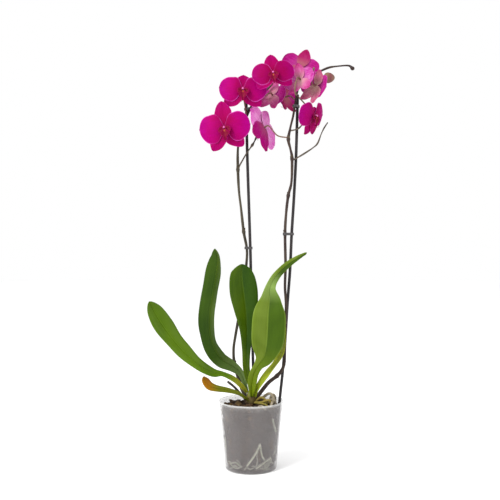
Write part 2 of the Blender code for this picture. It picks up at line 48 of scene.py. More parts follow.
scene.view_settings.look = "None"

bpy.ops.object.camera_add(location=CAMERA_PLACE, rotation=(radians(CAMERA_TILT), 0, 0))
camera = bpy.context.active_object
camera.name = "studio_camera"
camera.data.lens = CAMERA_LENS
camera.data.sensor_width = 36
camera.data.clip_end = 50
scene.camera = camera

room = bpy.data.worlds.new("white_room")
room.use_nodes = True
room.node_tree.nodes["Background"].inputs["Color"].default_value = (1, 1, 1, 1)
room.node_tree.nodes["Background"].inputs["Strength"].default_value = 1
scene.world = room


def soft_box(name, place, size, power):
    """A square area light that looks at the middle of the plant."""
    bpy.ops.object.light_add(type="AREA", location=place)
    lamp = bpy.context.active_object
    lamp.name = name
    ahead = Vector(PLANT_MIDDLE) - Vector(place)
    lamp.rotation_euler = ahead.to_track_quat("-Z", "Y").to_euler()
    lamp.data.size = size
    lamp.data.energy = power


soft_box("key_box", (-1.5, -1.5, 1.9), 1.1, 62)
soft_box("side_box", (1.9, -0.6, 1.1), 1, 9)


class Skin:
    """A material on one shader, with the helpers that add its nodes."""

    def __init__(self, name, roughness, specular):
        self.material = bpy.data.materials.new(name)
        self.material.use_nodes = True
        self.tree = self.material.node_tree
        self.shader = self.tree.nodes["Principled BSDF"]
        self.dial({"Roughness": roughness, "Specular IOR Level": specular})
        coordinates = self.node("ShaderNodeTexCoord", {})
        self.place, self.spread = coordinates.outputs["Object"], coordinates.outputs["UV"]

    def dial(self, dials):
        """Set the shader's own sockets."""
        for key, value in dials.items():
            self.shader.inputs[key].default_value = value

    def link(self, value, key):
        """Lead a node's output to one of the shader's sockets."""
        self.tree.links.new(value, self.shader.inputs[key])

    def node(self, kind, inputs, **settings):
        """A node with its settings; an input is a number, a colour or another node's output."""
        made = self.tree.nodes.new(kind)
        for key, value in settings.items():
            setattr(made, key, value)
        for key, value in inputs.items():
            if isinstance(value, bpy.types.NodeSocket):
                self.tree.links.new(value, made.inputs[key])
            else:
                made.inputs[key].default_value = value
        return made

    def axis(self, vector, letter):
        """One coordinate of a vector."""
        return self.node("ShaderNodeSeparateXYZ", {"Vector": vector}).outputs[letter]

    def work_out(self, operation, first, second=0):
        """The result of a sum on one or two values."""
        return self.node("ShaderNodeMath", {0: first, 1: second}, operation=operation).outputs[0]

    def ramp(self, value, stops):
        """A colour, or a grey, for a value between 0 and 1."""
        made = self.node("ShaderNodeValToRGB", {"Fac": value})
        scale = made.color_ramp
        while len(scale.elements) < len(stops):
            scale.elements.new(0.5)
        for element, (place, colour) in zip(scale.elements, stops):
            element.position = place
            element.color = (*(colour if isinstance(colour, tuple) else (colour,) * 3), 1)
        return made.outputs["Color"]

    def mix(self, share, low, high, way="MIX"):
        """The mix of two colours."""
        low, high = [(*side, 1) if isinstance(side, tuple) else side for side in (low, high)]
        return self.node("ShaderNodeMix", {0: share, 6: low, 7: high}, data_type="RGBA",
                         blend_type=way).outputs[2]

    def tinge(self, colour, other, pattern, *stops):
        """The colour with another laid over it, as thickly as the stops say for a pattern."""
        return self.mix(self.ramp(pattern, stops), colour, other)

    def speckle(self, size, detail=3, stretch=(1, 1, 1), twist=0, vector=None):
        """Noise on the piece's own place or another coordinate, stretched along its axes."""
        placed = self.node("ShaderNodeMapping", {"Vector": vector or self.place, "Scale": stretch})
        made = self.node("ShaderNodeTexNoise", {"Vector": placed.outputs[0], "Scale": size,
                                                "Detail": detail, "Distortion": twist})
        return made.outputs["Fac"]

    def finish(self, colour, height, strength, depth):
        """Colour the shader and give it small bumps from a height."""
        bump = self.node("ShaderNodeBump", {"Height": height, "Strength": strength,
                                            "Distance": depth})
        self.link(colour, "Base Color")
        self.link(bump.outputs["Normal"], "Normal")


def wear(piece, *skins):
    """Give the piece these skins alone."""
    piece.data.materials.clear()
    for skin in skins:
        piece.data.materials.append(skin.material)


def add(primitive, name, **settings):
    """A new primitive, selected alone."""
    bpy.ops.object.select_all(action="DESELECT")
    primitive(**settings)
    piece = bpy.context.active_object
    piece.name = name
    return piece


table = add(bpy.ops.mesh.primitive_circle_add, "table_top", vertices=96, radius=TABLE_RADIUS,
            fill_type="NGON", location=(0, 0, -TABLE_DROP))
skin = Skin("table_white", 0.8, 0.1)
skin.link(skin.ramp(skin.speckle(6), [(0, 0.985), (1, 1)]), "Base Color")
wear(table, skin)

# ---------------------------------------------------------------- pot
# A nursery pot injection-moulded in thin milky clear plastic: a tapered wall with a stacking step
# under a rolled lip, and a flat floor with six drain holes. The bark and roots show through it.
POT_FOOT, POT_TOP, POT_HEIGHT, POT_WALL = 0.0492, 0.0611, 0.13, 0.0009
STACKING_STEP, LIP_ROLL = 0.0004, 0.0012
DRAIN_HOLES, DRAIN_CIRCLE, DRAIN_RADIUS = 6, 0.031, 0.0045


def pot_radius(height):
    """Outer radius of the wall at a height in metres."""
    return POT_FOOT + (POT_TOP - POT_FOOT) * height / POT_HEIGHT


def on_circle(radius, angle, height):
    """A point round the pot's axis."""
    return Vector((radius * cos(angle), radius * sin(angle), height))


def pick(piece):
    """Select this piece alone, as the active one."""
    bpy.ops.object.select_all(action="DESELECT")
    piece.select_set(True)
    bpy.context.view_layer.objects.active = piece


def edit_all(operator, **settings):
    """Run an edit-mode operator on the whole of the active mesh."""
    bpy.ops.object.mode_set(mode="EDIT")
    bpy.ops.mesh.select_all(action="SELECT")
    operator(**settings)
    bpy.ops.object.mode_set(mode="OBJECT")


def ring_stack(name, profile, segments):
    """A round body drawn up ring by ring through (radius, height), open at both ends."""
    radius, height = profile[0]
    body = add(bpy.ops.mesh.primitive_circle_add, name, vertices=segments, radius=radius,
               location=(0, 0, height))
    bpy.ops.object.transform_apply(location=True)
    bpy.ops.object.mode_set(mode="EDIT")
    bpy.ops.mesh.select_all(action="SELECT")
    for wider, higher in profile[1:]:
        bpy.ops.mesh.extrude_region_move(TRANSFORM_OT_translate={"value": (0, 0, higher - height)})
        bpy.ops.transform.resize(value=(wider / radius, wider / radius, 1),
                                 center_override=(0, 0, 0))
        radius, height = wider, higher
    edit_all(bpy.ops.mesh.normals_make_consistent, inside=False)
    return body


def thicken(piece, thickness, side, **settings):
    """Add a wall to a sheet: inwards for -1, outwards for 1, to both sides for 0."""
    wall = piece.modifiers.new("wall", "SOLIDIFY")
    for key, value in {"thickness": thickness, "offset": side, **settings}.items():
        setattr(wall, key, value)


def apply_all(piece):
    """Apply every modifier on the piece."""
    pick(piece)
    for modifier in list(piece.modifiers):
        bpy.ops.object.modifier_apply(modifier=modifier.name)


def settle(piece, skins, node, angle=40):
    """Finish a piece: its skins, unless it wears them, smooth shading, and what it stands for."""
    if skins:
        wear(piece, *skins)
    pick(piece)
    bpy.ops.object.shade_smooth_by_angle(angle=radians(angle))
    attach(piece, "root")
    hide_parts(node)


# Rings of the wall from foot to lip: the height, and how far it stands out from the plain taper.
WALL_RINGS = [(0.003, 0), (0.03, 0), (0.06, 0), (0.09, 0), (0.111, 0), (0.1118, STACKING_STEP),
              (0.1245, STACKING_STEP), (0.1258, LIP_ROLL / 2), (0.1262, LIP_ROLL),
              (0.1268, 0.0013), (0.129, LIP_ROLL), (0.1298, 0.0008), (POT_HEIGHT, 0)]
pot = ring_stack("pot_wall", [
    (0.0005, 0), (0.03, 0), (POT_FOOT - 0.0022, 0), (POT_FOOT - 0.0009, 0.0004),
    (POT_FOOT - 0.0001, 0.0014),
    *((pot_radius(height) + out, height) for height, out in WALL_RINGS)], 96)
thicken(pot, POT_WALL, -1)
apply_all(pot)
for number in range(DRAIN_HOLES):
    drill = add(bpy.ops.mesh.primitive_cylinder_add, "drill", vertices=20, radius=DRAIN_RADIUS,
                depth=0.006, location=on_circle(
                    DRAIN_CIRCLE, tau * (number + 0.5) / DRAIN_HOLES, 0))
    hole = pot.modifiers.new("drain", "BOOLEAN")
    hole.operation = "DIFFERENCE"
    hole.object = drill
    apply_all(pot)
    bpy.data.objects.remove(drill, do_unlink=True)

skin = Skin("milky_plastic", 0.22, 0.35)
haze = skin.speckle(22, 4, (1, 1, 0.35), 0.6)
collar = skin.ramp(skin.work_out("DIVIDE", skin.axis(skin.place, "Z"), POT_HEIGHT),
                   [(0.9, 0), (0.955, 0.12), (0.972, 0.4), (0.985, 1)])
tint = skin.mix(haze, (0.172, 0.155, 0.153), (0.245, 0.228, 0.226))
tint = skin.mix(collar, tint, (0.74, 0.74, 0.73))
cover = skin.mix(collar, skin.ramp(haze, [(0.25, 0.28), (0.75, 0.38)]), (0.34, 0.34, 0.34))
skin.link(cover, "Alpha")
skin.dial({"Sheen Weight": 1, "Sheen Roughness": 0.45})
skin.finish(tint, haze, 0.03, 0.0003)
settle(pot, [skin], "pot")

# ---------------------------------------------------------------- bark
# Coarse pine bark fills the pot and is mounded in the middle. The mass is one lumpy body; loose
# chips of several sizes lie on it and show all round behind the clear wall.
MOUND_TOP, MOUND_DROP, BARK_REACH, BARK_FLOOR = 0.1215, 0.004, 0.0515, 0.0012
CHIP_KINDS, CHIPS_ON_TOP, CHIPS_AT_WALL = 7, 150, 300


def rough_up(piece, amount, size, seed):
    """Push the vertices in and out by noise of the given size."""
    shift = Vector((seed, seed * 0.7, -seed))
    normals = [vertex.normal.copy() for vertex in piece.data.vertices]
    for vertex, normal in zip(piece.data.vertices, normals):
        vertex.co += normal * amount * noise.noise(vertex.co / size + shift)


def bark_top(radius):
    """Height of the mound at a distance from the axis."""
    share = max(0, radius - 0.013) / 0.041
    return MOUND_TOP - MOUND_DROP * share ** 2


profile = [(0.0005, 0.002), (0.02, 0.002), (0.034, 0.002), (0.0415, 0.004), (0.043, 0.01)]
profile += [(pot_radius(z / 1000) - 0.0064, z / 1000) for z in range(15, 116, 4)]
profile += [(0.051, 0.1165), *((radius, bark_top(radius)) for radius in (
    0.049, 0.043, 0.036, 0.029, 0.022, 0.015, 0.008, 0.0005))]
mass = ring_stack("bark_mass", profile, 110)
rough_up(mass, 0.0045, 0.009, 3)
rough_up(mass, 0.0016, 0.0032, 11)
for vertex in mass.data.vertices:
    vertex.co.z = max(vertex.co.z, BARK_FLOOR)


def take_mesh(piece):
    """The mesh of a piece that isn't needed itself."""
    mesh = piece.data.copy()
    bpy.data.objects.remove(piece, do_unlink=True)
    return mesh


def chip_shape(seed):
    """One bark chip: a flat block with broken corners, a few dozen faces."""
    chip = add(bpy.ops.mesh.primitive_cube_add, "chip", size=1)
    edit_all(bpy.ops.mesh.subdivide, number_cuts=1)
    draw = random.Random(seed)
    for vertex in chip.data.vertices:
        corner = vertex.co.length
        vertex.co *= 1 - 0.38 * max(0, corner - 0.5)
        vertex.co += Vector([draw.uniform(-0.11, 0.11) for axis in range(3)])
    return take_mesh(chip)


def gather(name, parts):
    """One object from many placed copies of small meshes, each with its own tone from 0 to 1."""
    shape = bmesh.new()
    tone = shape.faces.layers.float.new("tone")
    for mesh, turn, shade in parts:
        first = len(shape.verts)
        shape.from_mesh(mesh)
        shape.verts.ensure_lookup_table()
        fresh = shape.verts[first:]
        bmesh.ops.transform(shape, matrix=turn, verts=fresh)
        for face in {face for vertex in fresh for face in vertex.link_faces}:
            face[tone] = shade
    mesh = bpy.data.meshes.new(name)
    shape.to_mesh(mesh)
    shape.free()
    piece = bpy.data.objects.new(name, mesh)
    scene.collection.objects.link(piece)
    return piece


def chip_turn(place, outward, spin, size):
    """Matrix that lays a chip at a place with its thin side outward."""
    lay = outward.to_track_quat("Z", "Y").to_matrix().to_4x4()
    return (Matrix.Translation(place) @ lay @ Matrix.Rotation(spin, 4, "Z")
            @ Matrix.Diagonal((*size, 1)))


chips = [chip_shape(seed) for seed in range(CHIP_KINDS)]
draw = random.Random(12)
laid = []
for number in range(CHIPS_ON_TOP):
    reach, turn = BARK_REACH * sqrt(draw.uniform(0.03, 1)), draw.uniform(0, tau)
    spot = on_circle(reach, turn, bark_top(reach) + draw.uniform(-0.0015, 0.0028))
    long = draw.uniform(0.007, 0.0155) * (0.8 if reach > 0.046 else 1)
    lean = Vector((draw.uniform(-0.55, 0.55), draw.uniform(-0.55, 0.55), 1)).normalized()
    laid.append((draw.choice(chips), chip_turn(spot, lean, draw.uniform(0, 6), (
        long, long * draw.uniform(0.45, 0.8), long * draw.uniform(0.22, 0.38))), draw.random()))
for number in range(CHIPS_AT_WALL):
    height, turn = draw.uniform(0.013, 0.115), draw.uniform(0, tau)
    long = draw.uniform(0.007, 0.017)
    thick = long * draw.uniform(0.22, 0.34)
    reach = pot_radius(height) - POT_WALL - draw.uniform(0.0024, 0.005) - thick * 0.5
    outward = on_circle(1, turn, 0) + Vector([draw.uniform(-0.12, 0.12) for axis in range(3)])
    laid.append((draw.choice(chips), chip_turn(
        on_circle(reach, turn, height), outward, draw.uniform(0, 6),
        (long, long * draw.uniform(0.45, 0.8), thick)), draw.random()))
loose = gather("bark_chips", laid)

skin = Skin("pine_bark", 0.9, 0.15)
tone = skin.node("ShaderNodeAttribute", {}, attribute_name="tone").outputs["Fac"]
grain, patch = skin.speckle(260, 6, (1, 1, 2.5), 1.2), skin.speckle(70)
colour = skin.ramp(tone, [(0, (0.016, 0.009, 0.006)), (0.45, (0.04, 0.021, 0.011)),
                          (0.75, (0.085, 0.045, 0.02)), (0.92, (0.2, 0.115, 0.04)),
                          (1, (0.27, 0.17, 0.065))])
colour = skin.mix(skin.work_out("MULTIPLY", grain, 0.8), colour, (0.012, 0.008, 0.006))
colour = skin.mix(skin.work_out("MULTIPLY", patch, 0.35), colour, (0.12, 0.075, 0.04))
skin.finish(colour, grain, 0.9, 0.0012)
settle(mass, [skin], "bark_medium", angle=180)
settle(loose, [skin], "bark_medium", angle=30)

# ---------------------------------------------------------------- roots
# Fleshy orchid roots in a spongy pale coat. Some press against the clear wall, some arch over the
# bark and dive in again; young ones are yellow-green, old ones beige.
WALL_ROOT_RADIUS, AIR_ROOT_RADIUS, FINE_ROOTS = 0.0018, 0.0024, 22
ROOT_GAP, FINE_ROOT_GAP = 1.75, 2.4
DOME = ((0.38, 0.93), (0.72, 0.7), (0.94, 0.36), (1, 0.04))


def smooth_route(points, steps):
    """Points along a smooth curve through the given ones; extra columns are carried along."""
    rows = [Vector(point) for point in points]
    rows = [rows[0] * 2 - rows[1], *rows, rows[-1] * 2 - rows[-2]]
    route = []
    for a, b, c, d in zip(rows, rows[1:], rows[2:], rows[3:]):
        for part in range(steps):
            t = part / steps
            route.append(0.5 * (2 * b + (c - a) * t + (2 * a - 5 * b + 4 * c - d) * t ** 2
                                + (3 * b - a - 3 * c + d) * t ** 3))
    route.append(rows[-2])
    return [tuple(row) for row in route]


def with_share(route):
    """The route's rows as (x, y, z, share of the radius)."""
    return [(*row[:3], row[3] if len(row) > 3 else 1) for row in route]


def rod(name, route, radius, sides):
    """A round rod along (x, y, z, share of the radius) in millimetres, with domed ends."""
    rows, caps = with_share(route), []
    for tip, inner in ((rows[0], rows[1]), (rows[-1], rows[-2])):
        ahead = (Vector(tip[:3]) - Vector(inner[:3])).normalized() * radius * 1000 * tip[3]
        caps.append([(*(Vector(tip[:3]) + ahead * far), tip[3] * wide) for far, wide in DOME])
    rows = caps[0][::-1] + rows + caps[1]
    curve = bpy.data.curves.new(name, "CURVE")
    curve.dimensions = "3D"
    curve.bevel_depth = radius
    curve.bevel_resolution = (sides - 4) // 2
    curve.use_fill_caps = True
    line = curve.splines.new("POLY")
    line.points.add(len(rows) - 1)
    for point, (x, y, z, share) in zip(line.points, rows):
        point.co = (x / 1000, y / 1000, z / 1000, 1)
        point.radius = share
    piece = bpy.data.objects.new(name, curve)
    scene.collection.objects.link(piece)
    pick(piece)
    bpy.ops.object.convert(target="MESH")
    edit_all(bpy.ops.mesh.remove_doubles, threshold=0.000002)
    edit_all(bpy.ops.mesh.normals_make_consistent, inside=False)
    return bpy.context.active_object


def uneven(route, amount, seed):
    """The route with its thickness varied a little along it."""
    draw = random.Random(seed)
    return [(x, y, z, share * (1 + draw.uniform(-amount, amount)))
            for x, y, z, share in with_share(route)]


def root_skin(name, pale, green, greenness):
    """Spongy root coat: pale, mottled with green or beige, with fine pits."""
    skin = Skin(name, 0.75, 0.2)
    patch, fine = skin.speckle(130, 3, (1, 1, 1), 0.5), skin.speckle(900, 4)
    colour = skin.tinge(pale, green, patch, (greenness, 0), (greenness + 0.3, 1))
    dark = tuple(part * 0.55 for part in pale)
    skin.finish(skin.tinge(colour, dark, fine, (0.35, 0.55), (0.6, 0)), fine, 0.5, 0.0004)
    return skin


wall_coat = root_skin("root_behind_wall", (0.52, 0.52, 0.42), (0.32, 0.35, 0.25), 0.42)
beige_coat = root_skin("root_beige", (0.34, 0.29, 0.21), (0.13, 0.1, 0.05), 0.4)
green_coat = root_skin("root_green", (0.25, 0.18, 0.04), (0.17, 0.17, 0.02), 0.4)

# Roots behind the wall: the CAD root each goes with, its thickness, and (x, z) along it.
WALL_ROOTS = [
    (1, 1.25, [(16.5, 57), (12, 47), (5.5, 35), (-7, 17)]),
    (1, 0.7, [(13, 45), (11, 36), (12, 25), (9, 14)]),
    (2, 1.1, [(17.5, 54), (18.5, 43), (21, 33), (24, 27)]),
    (2, 0.8, [(21, 34), (25, 28), (31, 23), (38, 24)]),
    (3, 1.1, [(36, 28), (29, 24), (21, 19), (10, 12)]),
    (3, 0.8, [(38, 20), (31, 12), (23, 9), (17, 12), (23, 18), (31, 17)]),
    (4, 1.1, [(41, 101), (42, 93), (44, 85), (46, 76)]),
    (4, 0.6, [(45, 46), (46, 40), (44, 34), (41, 30)]),
    (5, 1, [(-38, 15), (-33, 19), (-27, 20), (-21, 16)]),
    (5, 0.8, [(-37, 13), (-31, 10), (-24, 10), (-19, 14)]),
    (5, 0.7, [(-12, 9), (-8, 13), (-2, 10), (4, 12)]),
    (6, 0.8, [(-49, 62), (-48.5, 54), (-47.5, 46), (-47, 40)]),
]


def behind_wall(x, z, gap, share):
    """A point of a root inside the front of the wall, with its middle gap millimetres off it."""
    radius = (pot_radius(z / 1000) - POT_WALL) * 1000 - gap
    x = max(-radius + 0.5, min(radius - 0.5, x))
    return x, -sqrt(radius ** 2 - x ** 2), z, share


for number, (node, share, route) in enumerate(WALL_ROOTS, 1):
    places = [behind_wall(x, z, ROOT_GAP, share) for x, z in smooth_route(route, 8)]
    root = rod(f"root_at_wall_{number}", uneven(places, 0.07, number), WALL_ROOT_RADIUS, 12)
    settle(root, [wall_coat], f"wall_root_{node}")
draw = random.Random(31)
for number in range(FINE_ROOTS):
    middle, node = ((26, 3), (-29, 5))[number % 3 == 2]
    x, z, places = draw.gauss(middle, 9), draw.uniform(7, 19), []
    for bend in range(4):
        x, z = x + draw.uniform(-7, 7), max(5, z + draw.uniform(-5, 6))
        places.append((max(-43, min(43, x)), z))
    route = [behind_wall(x, z, FINE_ROOT_GAP, draw.uniform(0.42, 0.5))
             for x, z in smooth_route(places, 5)]
    root = rod(f"fine_root_{number + 1}", route, WALL_ROOT_RADIUS, 8)
    settle(root, [wall_coat], f"wall_root_{node}")

# Roots over the bark: the CAD root each goes with, its coat, its thickness, and points along it.
AIR_ROOTS = [
    (1, green_coat, 1, [(11, -4, 130), (19, -11, 137), (27, -13, 133), (31, -13, 126)]),
    (1, beige_coat, 0.9, [(29, -8, 124), (32, -14, 131), (37, -16, 134), (41, -13, 130),
                                     (40, -9, 124)]),
    (2, beige_coat, 1.1, [(12.5, 0.5, 127), (22, -2, 134), (31, -4, 142), (38, -6, 143),
                                     (42, -8, 137), (42, -9, 130), (40, -9, 123.5)]),
    (2, beige_coat, 0.9, [(34, 2, 123), (38, -2, 136), (42, 2, 140), (46, 7, 136),
                                     (47, 10, 124)]),
    (3, green_coat, 1, [(8, -10, 127), (20, -22, 130), (33, -22, 134), (39, -20, 126)]),
    (3, beige_coat, 0.9, [(13, -33, 122), (17, -38, 126), (22, -42, 126), (27, -44, 121)]),
    (3, beige_coat, 1, [(36, -30, 122), (40, -24, 130), (43, -18, 133), (46, -13, 129),
                                     (45, -9, 122)]),
    (3, green_coat, 0.7, [(12, -14, 126), (20, -28, 129), (29, -34, 127), (34, -36, 121)]),
]
for number, (node, coat, share, route) in enumerate(AIR_ROOTS, 1):
    places = [(*row, share) for row in smooth_route(route, 10)]
    root = rod(f"root_over_bark_{number}", uneven(places, 0.05, 40 + number), AIR_ROOT_RADIUS, 16)
    settle(root, [coat], f"air_root_{node}")

# ---------------------------------------------------------------- crown
# The short stem that everything grows from, wrapped in the brown and green feet of the leaves.
crown = ring_stack("crown_stem_body", [
    (0.0005, 0.1215), (0.0088, 0.1215), (0.0092, 0.125), (0.0094, 0.129), (0.0091, 0.134),
    (0.0083, 0.139), (0.0072, 0.144), (0.0056, 0.1475), (0.003, 0.149), (0.0005, 0.1492)], 40)
rough_up(crown, 0.0012, 0.006, 5)

skin = Skin("crown_flesh", 0.55, 0.3)
streak, patch = skin.speckle(420, 4, (1, 1, 0.12), 0.8), skin.speckle(90)
above_bark = skin.work_out("SUBTRACT", skin.axis(skin.place, "Z"), 0.123)
colour = skin.ramp(skin.work_out("MULTIPLY", above_bark, 32), [
    (0, (0.055, 0.03, 0.012)), (0.35, (0.16, 0.13, 0.02)), (0.8, (0.26, 0.3, 0.03)),
    (1, (0.28, 0.34, 0.04))])
colour = skin.tinge(colour, (0.1, 0.055, 0.025), patch, (0.45, 0), (0.62, 0.8))
colour = skin.mix(skin.work_out("MULTIPLY", streak, 0.6), colour, (0.05, 0.04, 0.01))
skin.finish(colour, streak, 0.5, 0.0006)
settle(crown, [skin], "crown_stem", angle=180)

# ---------------------------------------------------------------- leaves
# Thick, leathery strap leaves, folded along a sunk midrib, with rounded rims. Each grows from a
# narrow folded foot that clasps the crown. Upper faces are glossy green, undersides paler, matt.
# A spine's rows are x, y, z and the full width in millimetres; faces are the way the upper side
# looks at foot and tip; fold is in degrees. The rest is the leaf's colours for leaf_skins, among
# them painted light on the half right of the midrib and near the tip.
LEAVES = {
    "leaf_long_left": dict(
        spine=[(-8.9, -4.2, 144.2, 9), (-18, -10, 157, 13), (-32, -16, 172, 12),
               (-53, -24, 184, 10), (-74, -32, 189, 21), (-103, -42, 209, 27),
               (-135, -50, 242, 37), (-162, -54, 279, 44), (-179, -55, 307, 34),
               (-188, -56, 324, 9)],
        faces=((0.3, -0.75, 0.6), (0.45, -0.7, 0.55)), fold=9, foot_reach=0.29,
        foot_hold=0.18, deep=(0.044, 0.094, 0), bright=(0.072, 0.138, 0.001),
        foot=(0.215, 0.225, 0.012), right_half_painted_light=(0.92, 0.92, 1)),
    "leaf_tall_left": dict(
        spine=[(-6.3, 7.8, 145, 8), (-12, 11, 163, 12), (-20, 14, 180, 16), (-35, 16, 192, 23),
               (-57, 18, 205, 32), (-74, 18, 231, 38), (-81, 16, 264, 42), (-80, 14, 299, 45),
               (-73, 12, 340, 47), (-67, 11, 377, 43), (-65, 9, 403, 32), (-69, 8, 420, 9)],
        faces=((-0.36, -0.82, 0.35), (-0.7, -0.7, 0.08)), fold=26, foot_reach=0.4,
        foot_hold=0.16, deep=(0.012, 0.036, 0), bright=(0.028, 0.062, 0.001),
        foot=(0.085, 0.13, 0.034), right_half_painted_light=(1.4, 1.12, 4)),
    "leaf_middle": dict(
        spine=[(0, 0, 149.7, 7), (-4, 3, 165, 12), (-9, 4, 192, 14), (-9, 4, 226, 17),
               (-8, 3, 265, 29), (-10, 2, 303, 46), (-14, 0, 337, 55), (-17, -3, 365, 50),
               (-17, -5, 381, 36), (-17, -6, 391, 14)],
        faces=((0.05, -0.98, 0.15), (0.1, -0.98, 0.15)), fold=12, foot_reach=0.35,
        deep=(0.026, 0.06, 0), bright=(0.048, 0.09, 0), foot=(0.07, 0.11, 0.003),
        right_half_painted_light=(0.48, 0.68, 0.3)),
    "leaf_front": dict(
        spine=[(0.8, -8.9, 139, 9), (1.5, -15, 163, 19), (5, -21, 184, 20), (14, -26, 201, 20),
               (24, -30, 217, 38), (28.5, -32, 241, 64), (30.5, -31, 269, 71), (32, -29, 299, 67),
               (34.5, -25, 323, 46), (36, -20, 347, 23), (47, -14, 368, 17), (67, -8, 388, 14),
               (88, 0, 402, 10), (107, 6, 412, 4)],
        faces=((0.1, -0.97, 0.1), (0.3, -0.9, 0.2)), fold=24, foot_reach=0.38,
        deep=(0.082, 0.13, 0.005), bright=(0.14, 0.205, 0.022), foot=(0.12, 0.175, 0.003),
        right_half_painted_light=(0.3, 0.42, 0.1), tip=(0.2, 0.3, 0.07)),
    "leaf_narrow_right": dict(
        spine=[(9.3, -7, 138, 8), (13, -11, 153, 13), (20, -15, 168, 14), (32, -18, 185, 15),
               (46, -18, 203, 17), (56, -17, 221, 22), (60.5, -16, 245, 24), (61.5, -15, 271, 24),
               (60, -14, 295, 18), (58, -13, 309, 8)],
        faces=((-0.45, -0.75, 0.5), (-0.93, -0.32, 0.2)), fold=12, foot_reach=0.35,
        deep=(0.18, 0.235, 0.01), bright=(0.33, 0.37, 0.028), foot=(0.2, 0.26, 0.008),
        right_half_painted_light=(0.85, 0.85, 0.85)),
    "leaf_short_yellow": dict(
        spine=[(-7, -8.3, 132, 8), (-14, -15, 138, 8), (-25, -21, 147, 9),
               (-45, -28, 154, 11), (-64, -32, 158, 15), (-78, -34, 163, 20),
               (-86, -33, 173, 17), (-89, -32, 181, 7)],
        faces=((0.1, -0.7, 0.7), (0.5, -0.75, 0.45)), fold=14, foot_reach=0.74, foot_hold=0.52,
        deep=(0.32, 0.09, 0.001), bright=(0.22, 0.15, 0.003), foot=(0.095, 0.11, 0.004),
        right_half_painted_light=(0.8, 0.85, 1)),
}
LEAF_ACROSS, LEAF_STEPS, LEAF_THICK = 28, 14, 0.0017
FOOT_FOLD, FOOT_REACH, GROOVE_DEPTH, DROOP = 52, 0.02, 0.0011, 0.05
RIM_WAVE, RIPPLE = 0.0009, 0.0004


def grid(name, columns, rows):
    """A square grid, two wide, to be laid out as a blade."""
    return add(bpy.ops.mesh.primitive_grid_add, name, x_subdivisions=columns, y_subdivisions=rows,
               size=2)


def make_leaf(name, spine, faces, fold):
    """A strap leaf: a fine grid laid along the spine, grooved, rounded off and thickened."""
    rows = smooth_route(spine, LEAF_STEPS)
    points = [Vector(row[:3]) / 1000 for row in rows]
    last = len(rows) - 1
    leaf = grid(name + "_blade", LEAF_ACROSS, last)
    gone = [0]
    for ahead, behind in zip(points, points[1:]):
        gone.append(gone[-1] + (ahead - behind).length)
    length = gone[-1]
    rim = leaf.vertex_groups.new(name="body")
    draw = random.Random(name)
    phase = [draw.uniform(0, 6) for wave in range(2)]
    for vertex in leaf.data.vertices:
        across = vertex.co.x
        row = round((vertex.co.y + 1) / 2 * last)
        along = (points[min(row + 1, last)] - points[max(row - 1, 0)]).normalized()
        face = Vector(faces[0]).lerp(Vector(faces[1]), row / last)
        side = along.cross(face).normalized()
        up = side.cross(along).normalized()
        half = rows[row][3] / 2000
        to_tip = length - gone[row]
        turn_in = min(0.017, max(0.006, half * 0.8))
        if to_tip < turn_in:
            half = max(half, 0.0015) * sqrt(max(0, 1 - (1 - to_tip / turn_in) ** 2)) + 0.0002
        bend = radians(fold + (FOOT_FOLD - fold) * exp(-(gone[row] / FOOT_REACH) ** 2))
        wave = sin(gone[row] * 70 + phase[0]) * RIM_WAVE * min(1, gone[row] / 0.06)
        ripple = sin(gone[row] * 120 + phase[1] + 2 * across) * RIPPLE
        crease = sqrt(across ** 2 + 0.004) - 0.063
        groove = -GROOVE_DEPTH * exp(-(across / 0.07) ** 2) * min(1, half / 0.012)
        droop = -DROOP * half * across ** 6
        vertex.co = (points[row] + side * half * across * cos(bend)
                     + up * (half * crease * sin(bend) + groove + droop
                             + (wave * across + ripple) * abs(across)))
        round_off = sqrt(max(0, 1 - abs(across) ** 5)) * min(1, 0.3 + to_tip / 0.006)
        rim.add([vertex.index], max(0.12, round_off), "REPLACE")
    thicken(leaf, LEAF_THICK, 0, vertex_group="body", material_offset=1)
    return leaf


